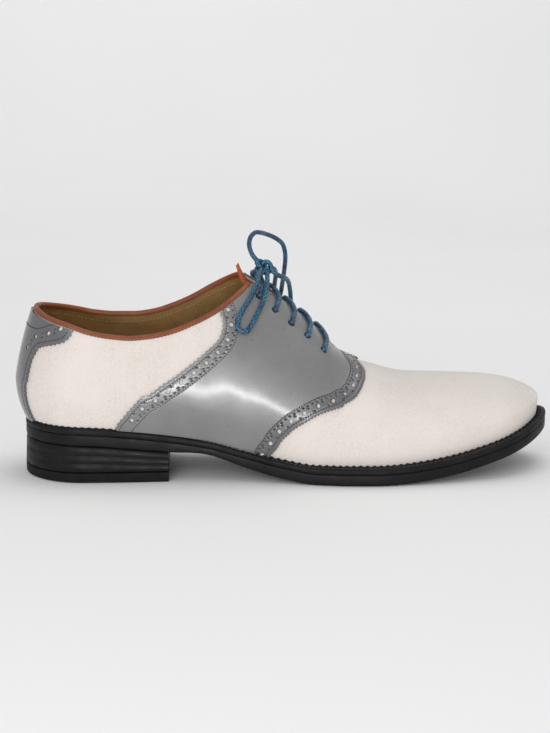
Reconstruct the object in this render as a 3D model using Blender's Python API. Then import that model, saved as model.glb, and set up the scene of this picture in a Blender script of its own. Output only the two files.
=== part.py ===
"""A right saddle shoe: hollow upper on its last, saddle and counter overlays, welt, outsole and heel.

Metres, +X to the toe, +Y to the wearer's left (the inner side of this right shoe), +Z up, sole on z = 0.
Every piece of the upper is a patch of one surface, the last's skin, lifted along its normal.
"""
import math

import bmesh
import bpy
import numpy as np
from mathutils import Vector

# Driving sizes
SHOE_LENGTH = 0.312
BALL_WIDTH = 0.107
INSTEP_HEIGHT = 0.099
TOPLINE_HEIGHT = 0.101
HEEL_RISE = 0.0223
TOE_SPRING = 0.0225
OUTSOLE_THICKNESS = 0.0065
WELT_THICKNESS = 0.0035
WELT_REACH = 0.0055
WELT_SEAT = 0.0045
EDGE_CHAMFER = 0.0008
TOP_PIECE_THICKNESS = 0.006
HEEL_LENGTH = 0.084
HEEL_FLARE = 0.0008
UPPER_WALL = 0.002
OVERLAY_THICKNESS = 0.0012
OVERLAY_DROP = 0.0014
OVERLAY_GAP = 0.0005
INSOLE_THICKNESS = 0.0025
TONGUE_THICKNESS = 0.0024
TONGUE_TOP_HALF = 0.0085
TONGUE_HALF = 0.016
TONGUE_TIP_HALF = 0.013
TONGUE_FREE = 0.013
THROAT_HALF_GAP = 0.0034
THROAT_FLARE = 0.0066
BINDING_HEIGHT = 0.0022
BINDING_WIDTH = 0.0032
CLEARANCE = 0.0003
LACE_DIAMETER = 0.0028
EYELET_DIAMETER = 0.0046
EYELET_SPREAD_TOP = 0.0145
EYELET_SPREAD_TOE = 0.0215
EYELET_PAIRS = 5

# Where things start and stop along the shoe, as shares of its length
TREAD_START = 0.525
TREAD_END = 0.645
THROAT_START = 0.42
THROAT_FLARE_END = 0.50
THROAT_END = 0.586
TONGUE_START = 0.432
TONGUE_END = 0.665
FIRST_EYELET = 0.437
LAST_EYELET = 0.555
HEEL_FAN = 0.102
HEEL_FAN_REACH = 0.28
TOE_FAN = 0.1155
TOE_FAN_START = 0.627
HEEL_ROUND = 0.112
TOE_ROUND = 0.115
SPRING_POWER = 1.9

# One row for each section of the last. station: share of the length. lateral, medial: the sole's half widths,
# side: how far the ridge leans inward, bulge: how far the wall swells past its foot, all shares of the ball width.
# seat: share of the heel's rise. gauge: share of the outsole's thickness. inset: share of the welt's reach.
# belly: height of the widest point over the seat, ridge: height of the ridge, shares of the instep height.
# power, inner: how square the lateral and the medial half of the section is, 2 for an ellipse.
SECTION_COLUMNS = ("station", "lateral", "medial", "seat", "gauge", "inset", "belly", "bulge", "power",
                   "inner", "ridge", "side")
SECTIONS = (
    (0.00, 0.300, 0.292, 1.000, 1.00, 0.33, 0.235, 0.049, 1.28, 1.28, 1.470, 0.000),
    (0.06, 0.312, 0.304, 0.985, 1.00, 0.33, 0.235, 0.045, 1.34, 1.34, 1.470, 0.000),
    (0.13, 0.322, 0.310, 0.950, 1.00, 0.36, 0.230, 0.036, 1.43, 1.43, 1.470, 0.000),
    (0.20, 0.327, 0.302, 0.868, 1.00, 0.42, 0.220, 0.030, 1.50, 1.50, 1.470, 0.000),
    (0.27, 0.325, 0.280, 0.745, 0.92, 0.50, 0.210, 0.027, 1.55, 1.75, 1.445, 0.000),
    (0.34, 0.330, 0.262, 0.583, 0.62, 0.58, 0.190, 0.025, 1.62, 2.15, 1.360, 0.004),
    (0.41, 0.362, 0.268, 0.330, 0.86, 0.70, 0.172, 0.023, 1.70, 2.35, 1.200, 0.008),
    (0.48, 0.412, 0.302, 0.112, 1.00, 0.82, 0.155, 0.023, 1.76, 2.28, 1.015, 0.010),
    (0.54, 0.458, 0.348, 0.000, 1.00, 0.90, 0.142, 0.023, 1.80, 2.15, 0.858, 0.010),
    (0.60, 0.490, 0.400, 0.000, 1.00, 0.95, 0.132, 0.024, 1.88, 2.05, 0.675, 0.010),
    (0.66, 0.500, 0.446, 0.000, 1.00, 1.00, 0.125, 0.024, 1.95, 2.02, 0.607, 0.012),
    (0.73, 0.482, 0.470, 0.000, 1.00, 1.00, 0.120, 0.023, 1.98, 1.98, 0.553, 0.010),
    (0.80, 0.450, 0.456, 0.000, 1.00, 1.00, 0.115, 0.022, 1.95, 1.95, 0.546, 0.006),
    (0.87, 0.396, 0.398, 0.000, 1.00, 1.00, 0.110, 0.019, 1.85, 1.85, 0.5425, 0.003),
    (0.94, 0.335, 0.325, 0.000, 1.00, 1.00, 0.105, 0.013, 1.70, 1.70, 0.530, 0.000),
    (1.00, 0.290, 0.275, 0.000, 1.00, 1.00, 0.100, 0.006, 1.60, 1.60, 0.525, 0.000),
)

# The topline. station: share of the length. lateral, medial: heights, shares of the topline's at the back.
COLLAR_COLUMNS = ("station", "lateral", "medial")
COLLAR = (
    (0.000, 1.000, 1.000),
    (0.053, 0.944, 0.962),
    (0.092, 0.911, 0.933),
    (0.129, 0.873, 0.907),
    (0.168, 0.850, 0.896),
    (0.205, 0.840, 0.896),
    (0.241, 0.848, 0.910),
    (0.280, 0.872, 0.948),
    (0.317, 0.914, 0.998),
    (0.355, 0.968, 1.066),
    (0.393, 1.044, 1.130),
    (0.433, 1.140, 1.190),
    (0.480, 1.260, 1.300),
)

# The saddle's edges. rise: share of the way up the section. rear, front: shares of the length.
SADDLE_COLUMNS = ("rise", "rear", "front")
SADDLE = (
    (0.00, 0.174, 0.4536),
    (0.10, 0.193, 0.4655),
    (0.16, 0.208, 0.4720),
    (0.25, 0.229, 0.4886),
    (0.35, 0.243, 0.5265),
    (0.45, 0.257, 0.5735),
    (0.55, 0.278, 0.6100),
    (0.65, 0.304, 0.6260),
    (0.75, 0.339, 0.6350),
    (0.82, 0.365, 0.6370),
    (0.90, 0.371, 0.6320),
    (1.00, 0.366, 0.6250),
)

# The counter's edge. rise: share of the way up the section. edge: share of the length.
COUNTER_COLUMNS = ("rise", "edge")
COUNTER = (
    (0.000, 0.0190),
    (0.100, 0.0178),
    (0.300, 0.0225),
    (0.470, 0.0240),
    (0.600, 0.0258),
    (0.680, 0.0301),
    (0.750, 0.0360),
    (0.785, 0.0470),
    (0.820, 0.0650),
    (0.870, 0.0830),
    (0.940, 0.0930),
    (1.000, 0.0968),
)

# The bow: half sizes and place of the knot, then each cord's route from the knot, from the heel's back
KNOT_SIZE = (0.0044, 0.0050, 0.0036)
KNOT_PLACE = (0.1405, -0.0020, 0.1195)
CORD_STEP = 2.0
LACE_ROUTES = (
    ("lace_loop_lateral", (
        (0.1391, -0.0071, 0.1187), (0.1378, -0.0110, 0.1165), (0.1360, -0.0155, 0.1110), (0.1322, -0.0206, 0.1042),
        (0.1280, -0.0252, 0.0985), (0.1250, -0.0282, 0.0930), (0.1243, -0.0302, 0.0888), (0.1265, -0.0311, 0.0858),
        (0.1300, -0.0305, 0.0866), (0.1328, -0.0285, 0.0905), (0.1355, -0.0260, 0.0950), (0.1383, -0.0222, 0.0997),
        (0.1410, -0.0172, 0.1055), (0.1425, -0.0112, 0.1122), (0.1426, -0.0067, 0.1178))),
    ("lace_loop_medial", (
        (0.1377, -0.0010, 0.1225), (0.1345, 0.0000, 0.1265), (0.1328, 0.0015, 0.1312), (0.1334, 0.0045, 0.1358),
        (0.1364, 0.0085, 0.1386), (0.1405, 0.0130, 0.1382), (0.1450, 0.0180, 0.1364), (0.1500, 0.0230, 0.1338),
        (0.1545, 0.0275, 0.1295), (0.1562, 0.0310, 0.1225), (0.1558, 0.0325, 0.1140), (0.1545, 0.0325, 0.1050),
        (0.1528, 0.0325, 0.0970), (0.1490, 0.0325, 0.0915), (0.1440, 0.0320, 0.0925), (0.1413, 0.0300, 0.0980),
        (0.1405, 0.0262, 0.1045), (0.1405, 0.0205, 0.1105), (0.1408, 0.0130, 0.1160), (0.1413, 0.0045, 0.1190))),
    ("lace_end_1", (
        (0.1447, 0.0010, 0.1190), (0.1475, 0.0055, 0.1175), (0.1490, 0.0120, 0.1140), (0.1490, 0.0190, 0.1080),
        (0.1485, 0.0245, 0.1000), (0.1480, 0.0280, 0.0910), (0.1478, 0.0298, 0.0820), (0.1470, 0.0308, 0.0735))),
    ("lace_end_2", (
        (0.1450, -0.0030, 0.1180), (0.1490, -0.0030, 0.1150), (0.1530, 0.0010, 0.1130), (0.1560, 0.0080, 0.1100),
        (0.1580, 0.0160, 0.1030), (0.1590, 0.0225, 0.0940), (0.1595, 0.0265, 0.0850), (0.1600, 0.0290, 0.0760))),
)

LATERAL = -1
MEDIAL = 1
LOWER_ROWS = 3
UPPER_ROWS = 11
STATIONS = 38
PLATE_STATIONS = 24
SADDLE_STEPS = 11
MIDFOOT_CROWDING = 0.2
WIDEST_SHARE = 0.22
TUBE_SIDES = 6
BAR_SAMPLES = 6
EYELET_SIDES = 8

# Base colours, linear, with roughness
FINISHES = {
    "white_nubuck": ((0.72, 0.68, 0.64), 0.85),
    "grey_leather": ((0.17, 0.17, 0.17), 0.35),
    "tan_leather": ((0.32, 0.16, 0.06), 0.55),
    "binding_leather": ((0.22, 0.06, 0.025), 0.5),
    "tongue_leather": ((0.42, 0.13, 0.05), 0.5),
    "black_sole": ((0.012, 0.012, 0.012), 0.5),
    "blue_lace": ((0.01, 0.09, 0.22), 0.5),
}


def curve(columns, table, name, at):
    """Smooth curve through one column of a table, never past its rows' values, level beyond the ends."""
    rows = np.asarray(table, float)
    knots = rows[:, 0]
    values = rows[:, columns.index(name)]
    step = np.diff(knots)
    chord = np.diff(values) / step
    before, after = chord[:-1], chord[1:]
    weight_before = 2 * step[1:] + step[:-1]
    weight_after = step[1:] + 2 * step[:-1]
    turns = before * after <= 0
    safe_before = np.where(turns, 1.0, before)
    safe_after = np.where(turns, 1.0, after)
    mean = (weight_before + weight_after) / (weight_before / safe_before + weight_after / safe_after)
    slope = np.zeros(len(knots))
    slope[1:-1] = np.where(turns, 0.0, mean)
    at = np.clip(at, knots[0], knots[-1])
    k = np.clip(np.searchsorted(knots, at, side="right") - 1, 0, len(step) - 1)
    t = (at - knots[k]) / step[k]
    ends = values[k] * (1 + 2 * t) * (1 - t) ** 2 + values[k + 1] * t * t * (3 - 2 * t)
    tangents = slope[k] * t * (1 - t) ** 2 + slope[k + 1] * t * t * (t - 1)
    return ends + step[k] * tangents


def section(name, station):
    """A column of the last's sections at a share of the length."""
    return curve(SECTION_COLUMNS, SECTIONS, name, station)


def turn_of(station):
    """Angle that places a station; equal steps of it are fine at the round ends."""
    return np.arccos(1 - 2 * np.asarray(station, float))


def station_of(turn):
    """Share of the length at an angle from 0 at the heel to pi at the toe."""
    return (1 - np.cos(turn)) / 2


def sole_edge(turn, side):
    """Plan point of the sole's edge on one side."""
    station = station_of(turn)
    half = section("lateral" if side == LATERAL else "medial", station) * BALL_WIDTH
    heel = np.clip(1 - station / HEEL_ROUND, 0, 1)
    toe = np.clip((station - 1 + TOE_ROUND) / TOE_ROUND, 0, 1)
    half = half * np.sqrt(np.clip(1 - heel ** 2, 0, 1)) * np.sqrt(np.clip(1 - toe ** 2, 0, 1))
    return np.stack([station * SHOE_LENGTH, side * half], -1)


def plan(turn, side, inset):
    """Plan point drawn in from the sole's edge, square to it."""
    nudge = 1e-3
    turn = np.asarray(turn, float)
    ahead, behind = turn + nudge, turn - nudge
    point_ahead = sole_edge(np.where(ahead > math.pi, math.pi, ahead), side)
    point_behind = sole_edge(np.where(behind < 0, 0, behind), side)
    along = point_ahead - point_behind
    along[..., 0] = np.where((ahead > math.pi) | (behind < 0), 0.0, along[..., 0])
    along /= np.linalg.norm(along, axis=-1, keepdims=True)
    outward = np.stack([-side * along[..., 1], side * along[..., 0]], -1)
    return sole_edge(turn, side) - outward * np.asarray(inset)[..., None]


def spring(station):
    """Rise of the toe past the tread."""
    return TOE_SPRING * np.clip((station - TREAD_END) / (1 - TREAD_END), 0, None) ** SPRING_POWER


def welt_top(x):
    """Height of the welt's top at a distance from the heel."""
    station = np.clip(x / SHOE_LENGTH, 0, 1)
    lift = HEEL_RISE * section("seat", station) + spring(station)
    return OUTSOLE_THICKNESS + WELT_THICKNESS + lift


def welt_bottom(x):
    return welt_top(x) - WELT_THICKNESS


def outsole_bottom(x):
    """Height of the outsole's underside, thinner under the waist, flat on z = 0 under the tread."""
    station = np.clip(x / SHOE_LENGTH, 0, 1)
    return np.maximum(welt_bottom(x) - OUTSOLE_THICKNESS * section("gauge", station), 0.0)


def feather_inset(turn):
    return WELT_REACH * section("inset", station_of(turn))


def ridge_station(station):
    """Share of the length at which a section meets the ridge; the sections fan out at both ends."""
    heel = HEEL_FAN * np.clip(1 - station / HEEL_FAN_REACH, 0, 1) ** 2
    toe = TOE_FAN * np.clip((station - TOE_FAN_START) / (1 - TOE_FAN_START), 0, 1) ** 2
    return station + heel - toe


def ridge_point(station):
    side = section("side", station) * BALL_WIDTH
    return np.stack([station * SHOE_LENGTH, side, section("ridge", station) * INSTEP_HEIGHT], -1)


class Column:
    """The last's sections at some angles on one side: from the feather line up to the ridge."""

    def __init__(self, turn, side):
        self.turn = np.asarray(turn, float)
        self.side = side
        station = station_of(self.turn)
        foot = plan(self.turn, side, feather_inset(self.turn))
        top = ridge_station(station)
        nudge = 0.004
        self.ridge = ridge_point(top)
        rise = ridge_point(top + nudge)[..., 2] - ridge_point(top - nudge)[..., 2]
        reach = foot - self.ridge[..., :2]
        self.foot = np.linalg.norm(reach, axis=-1)
        self.way = reach / self.foot[..., None]
        self.slope = rise / (2 * nudge * SHOE_LENGTH) * self.way[..., 0]
        self.wide = self.foot + section("bulge", station) * BALL_WIDTH
        self.seat = welt_top(foot[..., 0]) + CLEARANCE
        self.belly = self.seat + section("belly", station) * INSTEP_HEIGHT
        self.power = section("power" if side == LATERAL else "inner", station)

    def bare(self, rise):
        """Point at a rise from 0 at the feather line, over 1 at the widest, to 2 at the ridge.

        Below the widest point the wall swells as a parabola; above it the section is a superellipse.
        """
        low = np.clip(rise, 0, 1)
        angle = np.clip(rise - 1, 0, 1) * math.pi / 2
        swell = self.foot + (self.wide - self.foot) * (1 - (1 - low) ** 2)
        out = swell * np.clip(np.cos(angle), 0, 1) ** (2 / self.power)
        up = np.clip(np.sin(angle), 0, 1) ** (2 / self.power)
        height = self.seat + (self.belly - self.seat) * low + (self.ridge[..., 2] - self.belly) * up
        height = height + self.slope * out * np.sin(angle) ** 2
        plan_point = self.ridge[..., :2] + out[..., None] * self.way
        return np.concatenate([plan_point, height[..., None]], -1)

    def rise_at_height(self, height):
        """Rise at which each section reaches a height, which may be a function of x."""
        rises = np.linspace(0, 2, 161)
        found = np.full(self.turn.shape, 2.0)
        last = None
        for rise in rises:
            point = self.bare(np.full(self.turn.shape, rise))
            over = point[..., 2] - height(point[..., 0])
            if last is not None:
                hit = (over > 0) & (last <= 0) & (found >= 2.0)
                part = np.where(hit, last / np.where(hit, last - over, 1.0), 0)
                found = np.where(hit, rise - rises[1] * (1 - part), found)
            last = over
        return found

    def rise_at_distance(self, distance):
        """Rise at which each section is a distance from the ridge in plan."""
        share = np.clip(distance / self.wide, 0, 1)
        return 1 + np.arccos(share ** (self.power / 2)) * 2 / math.pi


def skin(turn, rise, side, lift):
    """Point of the last's surface, lifted along its normal; at the feather line the lift is level."""
    turn, rise = np.broadcast_arrays(np.asarray(turn, float), np.asarray(rise, float))
    point = Column(turn, side).bare(rise)
    nudge = 2e-3
    ahead = np.clip(turn + nudge, 0, math.pi)
    behind = np.clip(turn - nudge, 0, math.pi)
    along = Column(ahead, side).bare(rise) - Column(behind, side).bare(rise)
    column = Column(turn, side)
    upward = column.bare(np.clip(rise + nudge, 0, 2)) - column.bare(np.clip(rise - nudge, 0, 2))
    normal = np.cross(along, upward) * -side
    ends = (turn < nudge) | (turn > math.pi - nudge)
    normal[..., 1] = np.where(ends, 0.0, normal[..., 1])
    normal[..., 1] = np.where(rise > 2 - nudge, 0.0, normal[..., 1])
    normal[..., 2] *= np.clip(rise * 2, 0, 1)
    normal /= np.linalg.norm(normal, axis=-1, keepdims=True)
    return point + lift * normal


def collar_height(side, drop=0.0):
    """The rim of the upper under its binding, or a drop below it, as a function of x."""
    name = "lateral" if side == LATERAL else "medial"
    under = BINDING_HEIGHT + drop
    return lambda x: curve(COLLAR_COLUMNS, COLLAR, name, x / SHOE_LENGTH) * TOPLINE_HEIGHT - under


def throat_gap(turn):
    """Half the width of the throat: narrow between the facings, opening to a V at its top."""
    share = np.clip((THROAT_FLARE_END - station_of(turn)) / (THROAT_FLARE_END - THROAT_START), 0, 1)
    return THROAT_HALF_GAP + THROAT_FLARE * share ** 1.5


def top_rise(turn, side, drop=0.0):
    """Rise of the upper's rim: the collar, then the edge of the throat, then the ridge itself."""
    column = Column(turn, side)
    open_part = station_of(column.turn) < THROAT_END - 1e-6
    collar = column.rise_at_height(collar_height(side, drop))
    rim = np.minimum(collar, column.rise_at_distance(throat_gap(column.turn)))
    return np.where(open_part, rim, 2.0)


def rows_up(share, top):
    """Rises at shares of the way up; the widest line keeps the same share everywhere."""
    low = share / WIDEST_SHARE
    high = 1 + (share - WIDEST_SHARE) / (1 - WIDEST_SHARE) * (top - 1)
    return np.where(share <= WIDEST_SHARE, low, high)


def material(name):
    found = bpy.data.materials.get(name)
    if found:
        return found
    colour, roughness = FINISHES[name]
    made = bpy.data.materials.new(name)
    made.use_nodes = True
    made.diffuse_color = (*colour, 1)
    shader = made.node_tree.nodes["Principled BSDF"]
    shader.inputs["Base Color"].default_value = (*colour, 1)
    shader.inputs["Roughness"].default_value = roughness
    shader.inputs["Metallic"].default_value = 0.0
    return made


def add_object(name, points, faces, finish):
    """A closed mesh as an object, its faces turned outwards."""
    mesh = bpy.data.meshes.new(name)
    mesh.from_pydata([tuple(p) for p in np.asarray(points, float)], [], [list(map(int, f)) for f in faces])
    body = bmesh.new()
    body.from_mesh(mesh)
    bmesh.ops.recalc_face_normals(body, faces=body.faces)
    if body.calc_volume(signed=True) < 0:
        bmesh.ops.reverse_faces(body, faces=body.faces)
    bmesh.ops.triangulate(body, faces=body.faces)
    body.to_mesh(mesh)
    body.free()
    mesh.shade_smooth()
    mesh.set_sharp_from_angle(angle=math.radians(40))
    mesh.materials.append(material(finish))
    made = bpy.data.objects.new(name, mesh)
    bpy.context.collection.objects.link(made)
    return made


def wall_between(outer, inner, faces):
    """Closes two like sheets into one wall, with a rim along each edge that only one face has."""
    count = len(outer)
    used = {}
    for face in faces:
        for a, b in zip(face, np.roll(face, -1)):
            used[(int(a), int(b))] = used.get((int(a), int(b)), 0) + 1
    rim = [(a, b, b + count, a + count) for a, b in used if (b, a) not in used]
    back = [tuple(int(i) + count for i in reversed(face)) for face in faces]
    rim = [tuple(reversed(face)) for face in rim]
    return np.vstack([outer, inner]), [tuple(map(int, face)) for face in faces] + back + rim


class Sheet:
    """A lateral and a medial grid of (turn, rise), sewn together where they share a line."""

    def __init__(self, turns, rises, sew_back, sew_ridge):
        """turns, rises: for each side an array (columns, rows). sew_back: column 0 is shared.

        sew_ridge: a flag for each column whose last row is shared.
        """
        self.turns = turns
        self.rises = rises
        columns, rows = turns[LATERAL].shape
        self.index = {LATERAL: np.arange(columns * rows).reshape(columns, rows)}
        other = self.index[LATERAL] + columns * rows
        if sew_back is not None:
            for column in sew_back:
                other[column] = self.index[LATERAL][column]
        other[sew_ridge, -1] = self.index[LATERAL][sew_ridge, -1]
        self.index[MEDIAL] = other
        kept, self.number = np.unique(np.concatenate([self.index[LATERAL].ravel(), other.ravel()]),
                                      return_inverse=True)
        self.size = len(kept)
        self.number = self.number.reshape(2, columns, rows)

    def faces(self):
        made = []
        for side, grid in ((LATERAL, self.number[0]), (MEDIAL, self.number[1])):
            a, b = grid[:-1, :-1].ravel(), grid[1:, :-1].ravel()
            c, d = grid[1:, 1:].ravel(), grid[:-1, 1:].ravel()
            for quad in zip(a, b, c, d):
                corners = list(dict.fromkeys(quad if side == LATERAL else reversed(quad)))
                if len(corners) > 2:
                    made.append(tuple(corners))
        return made

    def points(self, lift):
        """Points of the sheet; where the sides share one, their mean."""
        total = np.zeros((self.size, 3))
        hits = np.zeros(self.size)
        for side, grid in ((LATERAL, self.number[0]), (MEDIAL, self.number[1])):
            made = skin(self.turns[side], self.rises[side], side, lift)
            np.add.at(total, grid.ravel(), made.reshape(-1, 3))
            np.add.at(hits, grid.ravel(), 1)
        return total / hits[:, None]


def stations(count, marks):
    """Angles from heel to toe, closer at mid foot so that all columns lie about as far apart.

    The nearest is moved onto each marked station.
    """
    even = np.linspace(0, 1, count + 1)
    turns = math.pi * even + MIDFOOT_CROWDING * np.sin(2 * math.pi * even)
    for mark in marks:
        at = float(turn_of(mark))
        turns[np.argmin(np.abs(turns - at))] = at
    return turns


def patch(name, turns, rises, sew_back, sew_ridge, outer_lift, inner_lift, finish):
    """A wall of the last's skin between two lifts."""
    sheet = Sheet(turns, rises, sew_back, sew_ridge)
    points, faces = wall_between(sheet.points(outer_lift), sheet.points(inner_lift), sheet.faces())
    return add_object(name, points, faces, finish)


def saddle_tip():
    """Where the saddle's front edge crosses the ridge."""
    return float(curve(SADDLE_COLUMNS, SADDLE, "front", 1.0))


def upper_stations():
    """The upper's columns, three of them on the saddle's own across the closed part of the ridge."""
    return stations(STATIONS, np.linspace(THROAT_END, saddle_tip(), 3))


def wall_shares():
    """The rows of the upper, which its overlays share so that their facets lie alike."""
    return np.concatenate([np.linspace(0, WIDEST_SHARE, LOWER_ROWS), np.linspace(WIDEST_SHARE, 1, UPPER_ROWS)[1:]])


def make_upper():
    turns = upper_stations()
    shares = wall_shares()
    grid_turns, grid_rises = {}, {}
    for side in (LATERAL, MEDIAL):
        grid_turns[side] = np.repeat(turns[:, None], len(shares), axis=1)
        grid_rises[side] = rows_up(shares[None, :], top_rise(turns, side)[:, None])
    closed = station_of(turns) >= THROAT_END - 1e-6
    return patch("upper", grid_turns, grid_rises, (0, -1), closed, 0.0, -UPPER_WALL, "white_nubuck")


def overlay_rises(turns, shares, side):
    """Rises of an overlay's rows, each column measured on its own angle."""
    tops = [top_rise(turns[:, k], side, OVERLAY_DROP) for k in range(len(shares))]
    return rows_up(shares[None, :], np.stack(tops, 1))


def make_saddle():
    shares = wall_shares()
    rear = curve(SADDLE_COLUMNS, SADDLE, "rear", shares)
    front = curve(SADDLE_COLUMNS, SADDLE, "front", shares)
    throat = (THROAT_END - rear[-1]) / (saddle_tip() - rear[-1])
    spread = np.concatenate([np.linspace(0, throat, SADDLE_STEPS), np.linspace(throat, 1, 3)[1:]])
    turns = turn_of(rear[None, :] + spread[:, None] * (front - rear)[None, :])
    grid_turns = {side: turns for side in (LATERAL, MEDIAL)}
    grid_rises = {side: overlay_rises(turns, shares, side) for side in (LATERAL, MEDIAL)}
    closed = station_of(turns[:, -1]) >= THROAT_END - 1e-6
    return patch("saddle", grid_turns, grid_rises, None, closed, OVERLAY_GAP + OVERLAY_THICKNESS, OVERLAY_GAP,
                 "grey_leather")


def make_counter():
    shares = wall_shares()
    spread = np.linspace(0, 1, 7)
    edge = turn_of(curve(COUNTER_COLUMNS, COUNTER, "edge", shares))
    turns = spread[:, None] * edge[None, :]
    grid_turns = {side: turns for side in (LATERAL, MEDIAL)}
    grid_rises = {side: overlay_rises(turns, shares, side) for side in (LATERAL, MEDIAL)}
    closed = np.zeros(len(spread), bool)
    return patch("heel_counter", grid_turns, grid_rises, (0,), closed, OVERLAY_GAP + OVERLAY_THICKNESS,
                 OVERLAY_GAP, "grey_leather")


def make_tongue():
    """A strap of the same skin under the throat; past the facings it stands free, narrower."""
    along = np.linspace(TONGUE_START, TONGUE_END, 11)
    half = np.interp(along, (TONGUE_START, TONGUE_START + 0.04, TONGUE_END),
                     (TONGUE_TOP_HALF, TONGUE_HALF, TONGUE_TIP_HALF))
    across = np.linspace(1, 0, 5)
    turns = np.repeat(turn_of(along)[:, None], len(across), axis=1)
    distance = half[:, None] * across[None, :]
    under = -UPPER_WALL / 2 - BINDING_WIDTH / 2 - 2 * CLEARANCE
    faces = []
    for lift in (under, under - TONGUE_THICKNESS):
        halves = [skin(turns, Column(turns, side).rise_at_distance(distance), side, lift)
                  for side in (LATERAL, MEDIAL)]
        sheet = np.concatenate([halves[0], halves[1][:, -2::-1]], axis=1)
        lean = np.radians(np.linspace(48, 72, 4))
        steps = np.stack([-np.cos(lean), np.zeros(len(lean)), np.sin(lean)], -1) * TONGUE_FREE / len(lean)
        free = sheet[0] + np.cumsum(steps, axis=0)[:, None, :]
        faces.append(np.concatenate([free[::-1], sheet]))
    return add_slab("tongue", faces[0], faces[1], "tongue_leather")


def add_slab(name, top, under, finish):
    """A solid between two grids of points of the same shape."""
    rows, columns = top.shape[:2]
    index = np.arange(rows * columns).reshape(rows, columns)
    quads = np.stack([index[:-1, :-1], index[1:, :-1], index[1:, 1:], index[:-1, 1:]], -1).reshape(-1, 4)
    points, faces = wall_between(top.reshape(-1, 3), under.reshape(-1, 3), [tuple(q) for q in quads])
    return add_object(name, points, faces, finish)


def ring(turns, inset, height):
    """Closed outline round the sole: heel, lateral side, toe, medial side."""
    inset = np.broadcast_to(inset, turns.shape)
    lateral = plan(turns, LATERAL, inset)
    medial = plan(turns, MEDIAL, inset)[1:-1][::-1]
    flat = np.vstack([lateral, medial])
    return np.column_stack([flat, height(flat[:, 0])])


def band(first, second, count):
    """Quads between two rings of the same count, numbered from their first points."""
    near = np.arange(count)
    far = (near + 1) % count
    return [(first + a, first + b, second + b, second + a) for a, b in zip(near, far)]


def ladder(first, half, count):
    """Rungs across a ring from its lateral to its medial points."""
    made = [(first, first + 1, first + count - 1)]
    for k in range(1, half - 1):
        made.append((first + k, first + k + 1, first + count - k - 1, first + count - k))
    made.append((first + half - 1, first + half, first + half + 1))
    return made


def stack(name, rings, finish):
    """A solid through rings from its top to its underside, closed by rungs."""
    count = len(rings[0])
    half = count // 2
    faces = ladder(0, half, count)
    for k in range(len(rings) - 1):
        faces += band(k * count, (k + 1) * count, count)
    faces += [tuple(reversed(face)) for face in ladder((len(rings) - 1) * count, half, count)]
    return add_object(name, np.vstack(rings), faces, finish)


def make_outsole():
    turns = stations(PLATE_STATIONS, (TREAD_START, TREAD_END, HEEL_LENGTH / SHOE_LENGTH))
    top = lambda x: welt_bottom(x) - CLEARANCE
    shoulder = lambda x: welt_bottom(x) - CLEARANCE - EDGE_CHAMFER
    foot = lambda x: outsole_bottom(x) + EDGE_CHAMFER
    rings = [ring(turns, EDGE_CHAMFER, top), ring(turns, 0.0, shoulder), ring(turns, 0.0, foot),
             ring(turns, EDGE_CHAMFER, outsole_bottom)]
    return stack("outsole", rings, "black_sole")


def make_welt():
    """A ring round the whole sole that carries the foot of the upper."""
    turns = stations(STATIONS, ())
    under = feather_inset(turns) + WELT_SEAT
    low = lambda x: welt_bottom(x) + EDGE_CHAMFER
    rings = [ring(turns, 0.0, welt_top), ring(turns, 0.0, low), ring(turns, EDGE_CHAMFER, welt_bottom),
             ring(turns, under, welt_bottom), ring(turns, under, welt_top)]
    count = len(rings[0])
    faces = []
    for k in range(len(rings)):
        faces += band(k * count, (k + 1) % len(rings) * count, count)
    return add_object("welt", np.vstack(rings), faces, "black_sole")


def make_insole():
    """The insole's top fills the upper; its rib and filler reach down inside the welt."""
    turns = stations(PLATE_STATIONS, ())
    inside = feather_inset(turns) + UPPER_WALL + CLEARANCE
    rib = feather_inset(turns) + WELT_SEAT + CLEARANCE
    top = lambda x: welt_top(x) + CLEARANCE + INSOLE_THICKNESS
    ledge = lambda x: welt_top(x) + CLEARANCE
    rings = [ring(turns, inside, top), ring(turns, inside, ledge), ring(turns, rib, ledge),
             ring(turns, rib, welt_bottom)]
    return stack("insole", rings, "tan_leather")


def heel_ring(turns, inset, height):
    """Closed outline of the heel: round the back and straight across its front."""
    lateral = plan(turns, LATERAL, np.full(turns.shape, inset))
    medial = plan(turns, MEDIAL, np.full(turns.shape, inset))[1:][::-1]
    lateral[-1, 0] = medial[0, 0] = HEEL_LENGTH
    flat = np.vstack([lateral, medial])
    return np.column_stack([flat, height(flat[:, 0])])


def heel_stack(name, rings, finish):
    count = len(rings[0])
    half = (count - 1) // 2
    cap = [(0, 1, count - 1)]
    cap += [(k, k + 1, count - k - 1, count - k) for k in range(1, half)]
    faces = list(cap)
    for k in range(len(rings) - 1):
        faces += band(k * count, (k + 1) * count, count)
    last = (len(rings) - 1) * count
    faces += [tuple(last + i for i in reversed(face)) for face in cap]
    return add_object(name, np.vstack(rings), faces, finish)


def make_heel():
    """The heel block under the outsole and the top piece that it stands on."""
    turns = np.linspace(0, float(turn_of(HEEL_LENGTH / SHOE_LENGTH)), 15)
    top = lambda x: outsole_bottom(x) - CLEARANCE
    flat = lambda height: (lambda x: np.full(x.shape, height))
    block = heel_stack("heel_block",
                       [heel_ring(turns, EDGE_CHAMFER, top),
                        heel_ring(turns, -HEEL_FLARE, flat(TOP_PIECE_THICKNESS + CLEARANCE))], "black_sole")
    piece = heel_stack("heel_top_piece",
                       [heel_ring(turns, -HEEL_FLARE, flat(TOP_PIECE_THICKNESS)),
                        heel_ring(turns, -HEEL_FLARE, flat(EDGE_CHAMFER)),
                        heel_ring(turns, 0.0, flat(0.0))], "black_sole")
    return block, piece


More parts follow.
